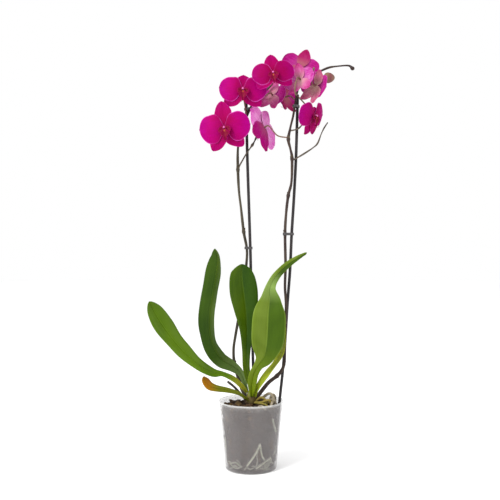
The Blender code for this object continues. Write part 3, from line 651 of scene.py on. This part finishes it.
def leaf_skins(name, deep, bright, foot, foot_reach, right_half_painted_light, tip=None, foot_hold=0.06):
    """Upper and under side: parallel veins, a pale midrib that is partly a painted highlight, a
    pale rim, patches and a yellower foot.

    The right-half tint multiplies the half right of the midrib: painted shade where that half turns
    from the light, and a painted greyish reflection on the tall leaf. tip is a pale patch near the
    tip, a painted highlight where the leaf twists into the light.
    """
    made = []
    for under in (False, True):
        skin = Skin(name + ("_under" if under else "_upper"), 0.6 if under else 0.4,
                    0.05 if under else 0.1)
        across, along = (skin.axis(skin.spread, letter) for letter in "XY")
        from_rib = skin.work_out("ABSOLUTE", skin.work_out("SUBTRACT", across, 0.5))
        veins = skin.speckle(60, 2, (1, 0.035, 1), 0.2, skin.spread)
        patch, cells = skin.speckle(16, 3, (1, 1, 0.7), 0.6), skin.speckle(900, 2)
        pale = tuple(min(1, part * 1.35 + 0.005) for part in bright)
        low, high = deep, bright
        if under:
            low = tuple(part * 0.75 + 0.035 for part in deep)
            high = tuple(part * 0.75 + 0.045 for part in bright)
        colour = skin.tinge(low, high, patch, (0.34, 0), (0.66, 1))
        colour = skin.tinge(colour, pale, veins, (0.45, 0), (0.75, 0.3))
        # Painted light: the half right of the midrib takes a multiplied tint, painted shade on most
        # leaves and a painted greyish reflection on the tall leaf.
        if not under:
            colour = skin.tinge(colour, skin.mix(1, colour, right_half_painted_light, "MULTIPLY"), across,
                                (0.47, 0), (0.53, 1))
        # A pale stripe along the midrib: partly the rib's own paler colour, partly a painted
        # highlight.
        colour = skin.tinge(colour, pale, from_rib, (0, 0.45), (0.014, 0.3), (0.035, 0))
        colour = skin.tinge(colour, tuple(part * 0.8 for part in pale), from_rib,
                            (0.455, 0), (0.49, 0.55), (0.5, 0.7))
        colour = skin.tinge(colour, foot, along, (foot_hold, 1), (foot_reach, 0))
        # A pale patch near the tip: a painted highlight where the twisted tip catches the light.
        if tip:
            colour = skin.tinge(colour, tip, along, (0.6, 0), (0.7, 0.85), (0.8, 0))
        skin.finish(colour, skin.mix(0.25, veins, cells), 0.25, 0.0006)
        if not under:
            skin.dial({"Coat Weight": 0.02, "Coat Roughness": 0.2})
        made.append(skin)
    return made


for name, facts in LEAVES.items():
    leaf = make_leaf(name, *(facts.pop(key) for key in ("spine", "faces", "fold")))
    wear(leaf, *leaf_skins(name, **facts))
    apply_all(leaf)
    settle(leaf, None, name, angle=180)

# ---------------------------------------------------------------- stakes
# Two thin canes in a dark plastic coat, a little bowed, hold the spikes up. They are pushed down
# through the bark, almost to the pot's floor.
CANE_RADIUS = 0.0028
STAKE_LEFT = [(8, 30, 8), (6, 28, 126), (1, 22, 305), (-1, 11, 409), (-6, 8, 563),
              (-8, 8, 636), (-9, 8, 697)]
STAKE_RIGHT = [(45.4, 4, 14), (55, 6, 126), (61, 8, 183), (66, 9, 245), (70, 10, 312),
               (75, 10, 379), (78, 9, 448), (82, 9, 513), (86, 9, 592), (88, 8, 666), (89, 8, 712)]
skin = Skin("cane_coat", 0.42, 0.2)
streak, patch = skin.speckle(500, 3, (1, 1, 0.05)), skin.speckle(60)
colour = skin.mix(streak, (0.012, 0.01, 0.011), (0.03, 0.026, 0.027))
colour = skin.tinge(colour, (0.042, 0.038, 0.034), patch, (0.5, 0), (0.8, 0.4))
skin.finish(colour, streak, 0.35, 0.0004)
for name, route in (("stake_left", STAKE_LEFT), ("stake_right", STAKE_RIGHT)):
    cane = rod(name + "_cane", uneven(smooth_route(route, 12), 0.015, 7), CANE_RADIUS, 20)
    settle(cane, [skin], name)

# ---------------------------------------------------------------- spikes
# Two wiry flower stems, olive to purple-brown, swollen at their joints. A papery brown scale wraps
# each joint. Dry side shoots branch off them, and an old cut stub stands beside them on the crown.
SPIKE_RADIUS, SHOOT_RADIUS, STUB_RADIUS = 0.0027, 0.0015, 0.0023
JOINT_SHARE, JOINT_SWELL, JOINT_HALF = 1.1, 0.42, 3.2
FOOT_SWELL, FOOT_TOP, FOOT_FADE = 0.45, 215, 60
SCALE_RADIUS, SCALE_TALL, PAPER_THICK = 0.0029, 0.01, 0.0004
SPIKE_LEFT = [
    (-8.7, 5, 133, 0.9), (-17, 18, 147, 1), (-23, 27, 163, 1), (-32, 33, 193, 1.3),
    (-34, 34, 222, 1), (-30, 34, 251, 1), (-22, 32, 296, 1.3), (-14, 28, 339, 0.95),
    (-9, 22, 388, 0.95), (-8, 17, 419, 0.9), (-14, 14, 452, 1.2), (-19, 11, 496, 0.85),
    (-23, 9, 530, 0.85), (-25, 7, 571, 1.15), (-25, 4, 609, 0.8), (-21, 2, 637, 0.8),
    (-11, 1, 665, 0.95), (-2, 1, 685, 0.75), (5, 4, 701, 0.75), (17, 7, 714, 0.85),
    (30, 7, 723, 0.7), (40, 2, 732, 0.6)]
SPIKE_RIGHT = [
    (10.2, 1, 134, 0.9), (20, 4, 146, 1), (34, 4, 163, 1), (50, 3, 176, 1.2),
    (60, 1, 189, 1), (64, 0, 204, 1), (65, -1, 236, 1), (66, -1, 274, 1.3),
    (67, 0, 312, 1), (65, 1, 347, 0.95), (66, 2, 389, 1), (65, 2, 448, 1.2),
    (67, 2, 487, 0.9), (71, 1, 521, 1.3), (77, 0, 547, 0.85), (78, -1, 591, 1.1),
    (75, -1, 609, 0.8), (71, -1, 628, 1.15), (75, -1, 651, 0.75), (80, -1, 672, 0.8),
    (84, -1, 696, 0.75), (88, -1, 719, 0.85), (95, 2, 743, 0.7), (107, 5, 755, 0.75),
    (122, 4, 754, 0.65), (146, 0, 763, 0.8), (162, -2, 765.5, 0.55), (184, -4, 766.5, 0.65),
    (192, -5, 761, 1.1)]


def spike_thickness(route):
    """The route with a thicker foot and short swellings at its joints."""
    joints = [Vector(row[:3]) for row in route if row[3] >= JOINT_SHARE]
    rows = []
    for x, y, z, share in smooth_route(route, 12):
        near = min((Vector((x, y, z)) - joint).length for joint in joints)
        plain = min(share, 1) * (1 + FOOT_SWELL * max(0, min(1, (FOOT_TOP - z) / FOOT_FADE)))
        rows.append((x, y, z, plain + JOINT_SWELL * exp(-(near / JOINT_HALF) ** 2)))
    return rows


def scale_leaf(place, along, spin):
    """A papery scale that wraps the stem at a joint and ends in a point, as (mesh, matrix)."""
    scale = grid("scale", 8, 7)
    for vertex in scale.data.vertices:
        up = (vertex.co.y + 1) / 2
        angle = vertex.co.x * radians(125) * (1 - up ** 1.6) ** 0.8
        reach = SCALE_RADIUS * (1 + 0.1 * up + 0.35 * up ** 3)
        vertex.co = (reach * cos(angle), reach * sin(angle), SCALE_TALL * up)
    thicken(scale, PAPER_THICK, 0)
    apply_all(scale)
    turn = Vector(along).to_track_quat("Z", "Y").to_matrix().to_4x4()
    return take_mesh(scale), Matrix.Translation(place) @ turn @ Matrix.Rotation(spin, 4, "Z")


def stem_skin(name, low, high, blotch):
    """Stem bark: fine streaks along the stem and darker blotches."""
    skin = Skin(name, 0.55, 0.15)
    streak, patch = skin.speckle(700, 3, (1, 1, 0.06)), skin.speckle(45, 4, (1, 1, 0.5), 0.5)
    colour = skin.tinge(low, high, patch, (0.38, 0), (0.62, 1))
    colour = skin.tinge(colour, blotch, streak, (0.45, 0), (0.7, 0.6))
    skin.finish(colour, streak, 0.4, 0.0004)
    return skin


olive_bark = stem_skin("spike_olive_bark", (0.036, 0.03, 0.02), (0.07, 0.06, 0.04),
                       (0.026, 0.018, 0.016))
purple_bark = stem_skin("spike_purple_bark", (0.032, 0.02, 0.018), (0.06, 0.042, 0.03),
                        (0.02, 0.012, 0.014))
paper_skin = stem_skin("scale_paper", (0.05, 0.036, 0.022), (0.11, 0.085, 0.048),
                       (0.024, 0.016, 0.012))
draw = random.Random(8)
for name, route, bark in (("flower_spike_left", SPIKE_LEFT, olive_bark),
                          ("flower_spike_right", SPIKE_RIGHT, purple_bark)):
    rows = spike_thickness(route)
    stem = rod(name + "_stem", uneven(rows, 0.012, 5), SPIKE_RADIUS, 18)
    settle(stem, [bark], name)
    scales = []
    for first, second in zip(route, route[1:]):
        if first[3] >= JOINT_SHARE:
            along = Vector(second[:3]) - Vector(first[:3])
            place = Vector(first[:3]) / 1000 - along.normalized() * 0.002
            mesh, turn = scale_leaf(place, along, draw.uniform(0, 6))
            scales.append((mesh, turn, draw.random()))
    wrap = gather(name + "_scales", scales)
    settle(wrap, [paper_skin], name, angle=60)

DRY_SHOOTS = [
    ("flower_spike_left", [(-25, 7, 573, 1.1), (-10, 3, 599, 0.9), (-1, 1, 612, 0.95),
                           (2.5, 0.5, 617, 1.9), (6, 0, 623, 0.9), (10, -1, 631, 1.5)]),
    ("flower_spike_right", [(78, 0, 588, 1.1), (88, 1, 593, 0.9), (103, 0, 602, 1.2),
                            (118, 0, 612, 0.8), (127, 2, 621, 1.1), (134, 4, 639, 0.7),
                            (140, 5, 651, 0.95), (146, 6, 660, 0.7)]),
    ("flower_spike_right", [(74, -1, 644, 1.1), (84, -1, 646, 0.9), (91, -2, 649, 1.1),
                            (97, -3, 655, 0.8)]),
]
dry_bark = stem_skin("shoot_dry", (0.06, 0.048, 0.038), (0.12, 0.098, 0.072),
                     (0.036, 0.028, 0.022))
for number, (node, route) in enumerate(DRY_SHOOTS, 1):
    places = uneven(smooth_route(route, 10), 0.05, number)
    settle(rod(f"dry_shoot_{number}", places, SHOOT_RADIUS, 12), [dry_bark], node)

stub_route = [(-10, -1.4, 131), (-19, -6, 142), (-29, -10, 154), (-37, -13, 162), (-43, -15, 167)]
stub_bark = stem_skin("stub_dead", (0.022, 0.016, 0.013), (0.055, 0.042, 0.034),
                      (0.018, 0.014, 0.012))
stub = rod("cut_stub", uneven(smooth_route(stub_route, 10), 0.06, 3), STUB_RADIUS, 14)
settle(stub, [stub_bark], "old_spike_stub")

# ---------------------------------------------------------------- bands
# Small bands moulded in dark plastic tie spike and stake together in two places on each side.
# Each is one loop round both, pinched to a waist between them.
BAND_RADIUS, BAND_TALL, BAND_WALL, WAIST = 0.0033, 0.005, 0.0011, 0.45
CLIPS = [("clip_lower_left", STAKE_LEFT, SPIKE_LEFT, 421),
         ("clip_upper_left", STAKE_LEFT, SPIKE_LEFT, 686),
         ("clip_lower_right", STAKE_RIGHT, SPIKE_RIGHT, 448),
         ("clip_upper_right", STAKE_RIGHT, SPIKE_RIGHT, 691)]
skin = Skin("clip_plastic", 0.35, 0.5)
scuff = skin.speckle(400, 4)
skin.finish(skin.mix(scuff, (0.022, 0.02, 0.021), (0.06, 0.055, 0.055)), scuff, 0.3, 0.0003)


def at_height(route, height):
    """Where a route passes a height, in metres."""
    rows = smooth_route(route, 6)
    for low, high in zip(rows, rows[1:]):
        if low[2] <= height <= high[2]:
            share = (height - low[2]) / (high[2] - low[2])
            return Vector(low[:3]).lerp(Vector(high[:3]), share) / 1000


for name, stake_route, spike_route, height in CLIPS:
    stake, spike = at_height(stake_route, height), at_height(spike_route, height)
    across = spike - stake
    band = add(bpy.ops.mesh.primitive_cylinder_add, name + "_band", vertices=48, radius=BAND_RADIUS,
               depth=BAND_TALL, end_fill_type="NOTHING")
    for vertex in band.data.vertices:
        if vertex.co.x > 0:
            vertex.co.x += across.length
    edit_all(bpy.ops.mesh.subdivide, number_cuts=2)
    middle = across.length / 2
    for vertex in band.data.vertices:
        pinch = exp(-((vertex.co.x - middle) / 0.0018) ** 2)
        vertex.co.y *= 1 - WAIST * pinch * min(1, middle / 0.004)
    band.data.transform(Matrix.Translation(stake)
                        @ Matrix.Rotation(atan2(across.y, across.x), 4, "Z"))
    thicken(band, BAND_WALL, 1)
    soft = band.modifiers.new("soft", "BEVEL")
    soft.width = 0.00025
    soft.segments = 2
    soft.angle_limit = radians(50)
    apply_all(band)
    settle(band, [skin], name)

# ---------------------------------------------------------------- flowers
# Moth orchid blooms. Three pointed sepals stand behind two broad round petals; in the middle a
# small keeled lip with two side lobes, an orange callus and two tendrils sits under the column.
SEPAL_LONG, SEPAL_WIDE, PETAL_LONG, PETAL_WIDE = 0.0465, 0.031, 0.0465, 0.053
LIP_LONG, LIP_WIDE, EAR_LONG, EAR_WIDE = 0.0235, 0.017, 0.0135, 0.0125
PETAL_THICK, LIP_THICK, EAR_THICK = 0.0005, 0.0009, 0.0007
TENDRIL_RADIUS, COLUMN_RADIUS = 0.0006, 0.002
# One row a bloom: its middle in millimetres, the way it faces (degrees round and up) and its roll;
# its size, how far its rim bends back in millimetres, the share of the top sepal's length, the
# angle of the low sepals below the side; its spike, its stalk's route, and the petals' width share.
FLOWERS = [
    ((-49, -42, 645), -6, 0, 8, 1.03, 6, 1.08, 54, "left", [(-22, 3, 635), (-34, -8, 646)], 1),
    ((-15, -34, 717), 0, 3, 0, 0.96, 6, 0.63, 40, "left", [(-8, 1, 673), (-14, -12, 705)], 0.91),
    ((40.5, -52, 744), -2, 3, 7, 0.85, 7, 0.92, 37, "left", [(38, 3, 730), (42, -16, 741)], 0.88),
    ((95, 26, 770), 176, -18, 20, 0.8, 6, 1, 50, "right", [(104, 5, 753), (98, 7, 762)], 1),
    ((92, -32, 735), 146, -10, -12, 0.68, 7, 1, 50, "right",
     [(87.5, -1, 716), (87, -10, 711), (85, -24, 708), (82, -39, 708), (81, -48, 720)], 1),
    ((122, -25, 725), 128, -12, 20, 0.82, 8, 0.8, 56, "right",
     [(118, 5, 755), (119, -8, 760), (117, -24, 758), (112, -34, 745)], 1),
    ((119, -12, 672), 52, -12, 5, 0.84, 8, 0.4, 72, "right", [(87, -1, 711), (104, 2, 693)], 1),
    ((25, -1, 650), -120, -12, 42, 1.03, -3, 0.97, 60, "right",
     [(70, -1, 631), (50, -2, 635)], 1),
    ((41, 8, 713.5), 150, -12, 10, 0.7, 7, 1, 58, "left", [(16, 6, 713), (26, 4, 711)], 1),
    ((67, 38, 714), -124, -6, 0, 0.74, 7, 1, 54, "right", [(85, -1, 702), (84, 20, 706)], 1),
]


def flower_frame(centre, azimuth, elevation, roll):
    """Matrix that puts a flower's own +Z along the way it faces and its +Y to its top."""
    azimuth, elevation = radians(azimuth), radians(elevation)
    facing = Vector((sin(azimuth) * cos(elevation),
                     -cos(azimuth) * cos(elevation), sin(elevation)))
    right = Vector((0, 0, 1)).cross(facing).normalized()
    turn = Matrix((right, facing.cross(right), facing)).transposed()
    return (Matrix.Translation(Vector(centre) / 1000) @ turn.to_4x4()
            @ Matrix.Rotation(radians(roll), 4, "Z"))


def blade(name, axis, length, width, outline, lift, seed, columns, rows, thick=PETAL_THICK):
    """A petal laid flat from the middle out along an axis, its outline and lift given as functions.

    Its UV map runs across and along it, and "rim" is the distance from its edge in millimetres.
    """
    petal = grid(name, columns, rows)
    mesh = petal.data
    draw = random.Random(seed)
    phase = [draw.uniform(0, tau) for wave in range(3)]
    rim = mesh.attributes.new("rim", "FLOAT", "POINT")
    turn = Matrix.Rotation(radians(axis - 90), 4, "Z")
    spread = []
    for vertex in mesh.vertices:
        across = vertex.co.x
        along = (1 - cos(pi * (vertex.co.y + 1) / 2)) / 2
        half = width / 2 * outline(along) * (
            1 + 0.045 * sin(5.5 * along + phase[0] + 1.7 * copysign(1, across))
            + 0.018 * sin(14 * along + phase[1] * copysign(1, across))) + 0.00015
        spread.append(((across + 1) / 2, along))
        far = min(half * (1 - abs(across)), length * (1 - along))
        rim.data[vertex.index].value = far * 1000
        ripple = (0.0009 * sin(9 * along + phase[0]) * across ** 2
                  + 0.0006 * sin(17 * along + phase[1]) * abs(across) ** 4
                  + 0.0005 * sin(6 * across + phase[2]) * along)
        x, y = across * half, length * along
        vertex.co = turn @ Vector((x, y, lift(across, along, x, y) + ripple * along))
    for loop, layer in zip(mesh.loops, mesh.uv_layers[0].data):
        layer.uv = spread[loop.vertex_index]
    thicken(petal, thick, -1, material_offset=1)
    return petal


def petal_skin(name, middle, body, edge, rim_colour, veins_colour, vein_share):
    """Petal flesh: streaky veins fanning from the foot, darker at the foot, with a pale rim."""
    skin = Skin(name, 0.6, 0.03)
    rim = skin.node("ShaderNodeAttribute", {}, attribute_name="rim").outputs["Fac"]
    veins = skin.speckle(26, 3, (1, 0.1, 1), 0.5, skin.spread)
    colour = skin.ramp(skin.axis(skin.spread, "Y"), [(0.05, middle), (0.55, body), (1, edge)])
    colour = skin.tinge(colour, edge, skin.speckle(60, 2), (0.35, 0), (0.7, 0.35))
    colour = skin.tinge(colour, veins_colour, veins, (0.48, 0), (0.68, vein_share))
    broken = skin.ramp(skin.speckle(45, 2), [(0.38, 0.15), (0.62, 1)])
    near = skin.work_out("MULTIPLY", rim, 0.25)
    edging = skin.ramp(near, [(0.07, 1), (0.26, 0.28), (0.6, 0)])
    colour = skin.mix(skin.work_out("MULTIPLY", edging, broken), colour, rim_colour)
    skin.dial({"Subsurface Weight": 0.06, "Subsurface Radius": (0.004, 0.001, 0.003),
               "Subsurface Scale": 0.5})
    skin.finish(colour, skin.mix(0.3, veins, skin.speckle(1500, 2)), 0.35, 0.0007)
    return skin


petal_front = petal_skin("petal_front", (0.2, 0, 0.03), (0.308, 0, 0.105),
                         (0.28, 0, 0.15), (0.6, 0.09, 0.46), (0.24, 0, 0.06), 0.45)
petal_deep = petal_skin("petal_front_deep", (0.19, 0, 0.026), (0.245, 0, 0.066),
                        (0.25, 0, 0.108), (0.58, 0.09, 0.44), (0.19, 0, 0.035), 0.45)
petal_back = petal_skin("petal_back", (0.36, 0.07, 0.22), (0.33, 0.008, 0.165), (0.29, 0, 0.12),
                        (0.56, 0.14, 0.42), (0.42, 0.05, 0.27), 0.5)
petal_back_lit = petal_skin("petal_back_lit", (0.4, 0.12, 0.29), (0.42, 0.05, 0.27),
                            (0.34, 0.012, 0.19), (0.6, 0.2, 0.47), (0.6, 0.24, 0.46), 0.6)
# A paler copy of the petal back, painted light for the bloom whose upper side catches the light.
petal_back_painted_light = petal_skin("petal_back_painted_light", (0.74, 0.3, 0.58), (0.78, 0.21, 0.6),
                             (0.6, 0.07, 0.42), (0.82, 0.42, 0.72), (0.86, 0.44, 0.72), 0.7)
sepal_front = petal_skin("sepal_front", (0.22, 0, 0.03), (0.27, 0, 0.075), (0.26, 0, 0.09),
                         (0.42, 0.01, 0.22), (0.17, 0, 0.03), 0.45)
sepal_back = petal_skin("sepal_back", (0.36, 0.13, 0.14), (0.29, 0.01, 0.09),
                        (0.24, 0, 0.055), (0.42, 0.04, 0.24), (0.36, 0.05, 0.16), 0.4)
sepal_back_lit = petal_skin("sepal_back_lit", (0.5, 0.28, 0.27), (0.42, 0.075, 0.22),
                            (0.32, 0, 0.11), (0.5, 0.08, 0.32), (0.55, 0.18, 0.36), 0.5)
# A deeper copy of the sepal back for that bloom's low sepals: painted shade.
sepal_back_painted_shade = petal_skin("sepal_back_painted_shade", (0.34, 0.06, 0.15), (0.31, 0, 0.135),
                             (0.27, 0, 0.095), (0.42, 0.04, 0.28), (0.36, 0.02, 0.18), 0.4)
young_back = petal_skin("sepal_back_young", (0.44, 0.31, 0.24), (0.44, 0.13, 0.21),
                        (0.32, 0.015, 0.1), (0.5, 0.1, 0.28), (0.48, 0.24, 0.27), 0.6)
lip_skin = petal_skin("lip_flesh", (0.19, 0.004, 0.022), (0.125, 0, 0.024), (0.2, 0, 0.04),
                      (0.26, 0, 0.07), (0.4, 0.085, 0.03), 0.22)
column_skin = petal_skin("column_flesh", (0.34, 0.02, 0.16), (0.48, 0.06, 0.27),
                         (0.55, 0.14, 0.36), (0.55, 0.14, 0.36), (0.38, 0.03, 0.18), 0.4)
callus_skin = petal_skin("callus_flesh", (0.36, 0.1, 0.03), (0.3, 0.045, 0.022),
                         (0.22, 0.01, 0.02), (0.34, 0.07, 0.04), (0.15, 0, 0.014), 0.8)
# A bloom's own petal front, petal back, sepal back and top sepal's back, where they differ from
# PLAIN_FLESH: the lit sepal and petal backs, and the paler and deeper backs of bloom 8, are
# painted light and painted shade for how the light falls on those blooms; the young sepal backs
# show its age.
PLAIN_FLESH = (petal_front, petal_back, sepal_back, sepal_back)
FLESH = {3: (petal_deep, petal_back, sepal_back, sepal_back),
         5: (petal_front, petal_back_lit, sepal_back_lit, sepal_back_lit),
         6: (petal_front, petal_back, young_back, young_back),
         8: (petal_front, petal_back_painted_light, sepal_back_painted_shade, petal_back_painted_light),
         9: (petal_front, petal_back, sepal_back_lit, sepal_back_lit)}


def round_outline(along):
    """A broad round petal with a short narrow claw."""
    return ((4 * along ** 0.93 * (1 - along ** 0.93)) ** 0.48
            * (1 - 0.62 * exp(-(along / 0.15) ** 2)) if along < 1 else 0)


def pointed_outline(along):
    """An oval sepal, blunt at the foot and pointed at the tip."""
    return sin(pi * along ** 0.92) ** 0.58 if 0 < along < 1 else 0


def lip_outline(along):
    """The lip's middle lobe: a narrow foot, wide shoulders and a narrow snout."""
    return (0.28 + 0.72 * exp(-((along - 0.48) / 0.2) ** 2)) * min(1, (1.02 - along) / 0.15)


def ear_outline(along):
    """A side lobe of the lip: an upright rounded ear."""
    return sin(pi * min(1, along * 0.93 + 0.05)) ** 0.6


def grow_flower(number, spec):
    """One bloom, made in its own frame at its own size, then set in place."""
    size, bend, top_share, spread = spec[4:8]
    place = flower_frame(*spec[:4]) @ Matrix.Scale(size, 4)
    name, draw = f"flower_{number}", random.Random(100 + number)
    front, reverse, back, top_back = FLESH.get(number, PLAIN_FLESH)

    def set_in(piece, part, *skins):
        """Finish a part of the bloom and move it to the bloom's place."""
        wear(piece, *skins)
        apply_all(piece)
        piece.data.transform(place)
        settle(piece, None, f"{name}_{part}", angle=60)

    def back_bend(x, y):
        return -bend / 1000 * ((x * x + y * y) / 0.047 ** 2) / size

    for which, axis, length, width, curl in (
            ("top", 90, 0.045 * top_share, 0.032, 0.5),
            ("low_right", -spread, SEPAL_LONG, SEPAL_WIDE, 0.9),
            ("low_left", spread - 180, SEPAL_LONG, SEPAL_WIDE, 0.9)):
        def lift(across, along, x, y, curl=curl):
            return (back_bend(x, y) - 0.0009
                    + 0.0022 * curl * across ** 2 * sin(pi * along))
        set_in(blade(f"{name}_sepal_{which}", axis + draw.uniform(-2, 2), length, width,
                     pointed_outline, lift, draw.random(), 14, 20),
               "sepals", sepal_front, top_back if which == "top" else back)
    for which, axis in (("right", 3), ("left", 177)):
        def lift(across, along, x, y):
            return (back_bend(x, y) + 0.0009
                    + 0.0016 * sin(pi * min(1, along * 1.15)) * (1 - across ** 2)
                    - 0.0012 * across ** 4 * along)
        set_in(blade(f"{name}_petal_{which}", axis + draw.uniform(-2, 2), PETAL_LONG,
                     PETAL_WIDE * spec[10], round_outline, lift, draw.random(), 20, 26),
               "petals", front, reverse)

    def lip_lift(across, along, x, y):
        arch = 0.0022 + 0.0075 * sin(pi * min(1, 0.62 * along + 0.12))
        return arch + 0.003 * abs(across) ** 1.5 * (1 - along) - 0.001 * (1 - abs(across)) ** 3

    set_in(blade(name + "_lip_middle", -90, LIP_LONG, LIP_WIDE, lip_outline, lip_lift,
                 draw.random(), 12, 16, LIP_THICK), "lip", lip_skin, lip_skin)
    for which, axis, sign in (("right", -36, 1), ("left", -144, -1)):
        def ear_lift(across, along, x, y, sign=sign):
            return 0.0022 + 0.0072 * along ** 0.8 + 0.0022 * across * sign * along

        set_in(blade(f"{name}_lip_ear_{which}", axis, EAR_LONG, EAR_WIDE, ear_outline, ear_lift,
                     draw.random(), 10, 10, EAR_THICK), "lip", lip_skin, lip_skin)
        tendril = smooth_route([(sign * 0.6, -21, 7.5), (sign * 1.4, -24, 8.5),
                                (sign * 3.6, -25.6, 10), (sign * 6, -24.6, 11.6),
                                (sign * 6.9, -22.4, 12.2)], 6)
        tapered = [(*row, 1 - 0.6 * at / len(tendril)) for at, row in enumerate(tendril)]
        set_in(rod(f"{name}_tendril_{which}", tapered, TENDRIL_RADIUS, 8), "lip", lip_skin)
    callus = add(bpy.ops.mesh.primitive_uv_sphere_add, name + "_callus", segments=16, ring_count=10,
                 radius=1)
    for vertex in callus.data.vertices:
        x, y, z = vertex.co
        vertex.co = (0.0027 * x * (1 + 0.2 * y), -0.0062 + 0.0034 * y,
                     0.0062 + 0.0026 * z * (0.75 + 0.5 * abs(x)))
    set_in(callus, "lip", callus_skin)
    stalk = [(0, -0.6, 0.6, 0.95), (0, -0.2, 3, 0.86), (0, 0.2, 5.4, 0.9), (0, 0.1, 7.6, 1.08),
             (0, -0.5, 9, 0.95)]
    set_in(rod(name + "_column", smooth_route(stalk, 6), COLUMN_RADIUS, 16), "lip", column_skin)


for number, spec in enumerate(FLOWERS, 1):
    grow_flower(number, spec)

# ---------------------------------------------------------------- flower stalks and the bud
# Each bloom hangs on a thin green-pink stalk that thickens into its ribbed ovary. The last bud on
# the right spike is still closed, three sepals folded tight into an egg.
STALK_BACK, STALK_SEAT = -0.0107, -0.0015
STALK_RADIUS, BUD_MIDDLE, BUD_HALF = 0.0013, (0.148, -0.002, 0.744), (0.0108, 0.0096, 0.01)
stalk_skin = stem_skin("stalk_green_pink", (0.14, 0.115, 0.055), (0.23, 0.11, 0.095),
                       (0.17, 0.055, 0.062))
for number, spec in enumerate(FLOWERS, 1):
    place = flower_frame(*spec[:4])
    behind = place @ Vector((0, 0, STALK_BACK)) * 1000
    seat = place @ Vector((0, 0, STALK_SEAT)) * 1000
    rows = smooth_route([*spec[9], tuple(behind), tuple(seat)], 10)
    rows = [(*row, 1 + 0.45 * max(0, at / len(rows) - 0.6) / 0.4)
            for at, row in enumerate(rows)]
    settle(rod(f"flower_stalk_{number}", rows, STALK_RADIUS, 12), [stalk_skin],
           "flower_spike_" + spec[8])
bud_route = [(121, 4, 755), (127, 1, 751), (132, -1.5, 745.5), (138, -2, 744)]
settle(rod("bud_stalk", smooth_route(bud_route, 8), STALK_RADIUS, 12), [stalk_skin],
       "flower_spike_right")

bud = add(bpy.ops.mesh.primitive_uv_sphere_add, "closed_bud", segments=36, ring_count=24, radius=1)
bud.data.transform(Matrix.Rotation(radians(90), 4, "Y"))
for vertex in bud.data.vertices:
    along, y, z = vertex.co
    angle = atan2(z, y)
    seam = 1 - 0.055 * exp(-((sin(1.5 * angle + 0.5) / 0.22) ** 2)) * (1 - along ** 2)
    narrow = (1 - 0.22 * along) * seam
    vertex.co = [middle + half * part for middle, half, part in zip(
        BUD_MIDDLE, BUD_HALF, (along, y * narrow, z * narrow))]
skin = Skin("bud_flesh", 0.5, 0.25)
from_foot = skin.work_out("SUBTRACT", skin.axis(skin.place, "X"), 0.137)
streak = skin.speckle(300, 3, (0.15, 1, 1), 0.4)
colour = skin.ramp(skin.work_out("MULTIPLY", from_foot, 45), [
    (0, (0.16, 0.15, 0.06)), (0.3, (0.2, 0.11, 0.065)), (0.6, (0.17, 0.045, 0.05)),
    (0.9, (0.2, 0.12, 0.075))])
colour = skin.tinge(colour, (0.15, 0.032, 0.042), streak, (0.45, 0), (0.7, 0.6))
skin.finish(colour, streak, 0.4, 0.0006)
settle(bud, [skin], "flower_bud", angle=180)
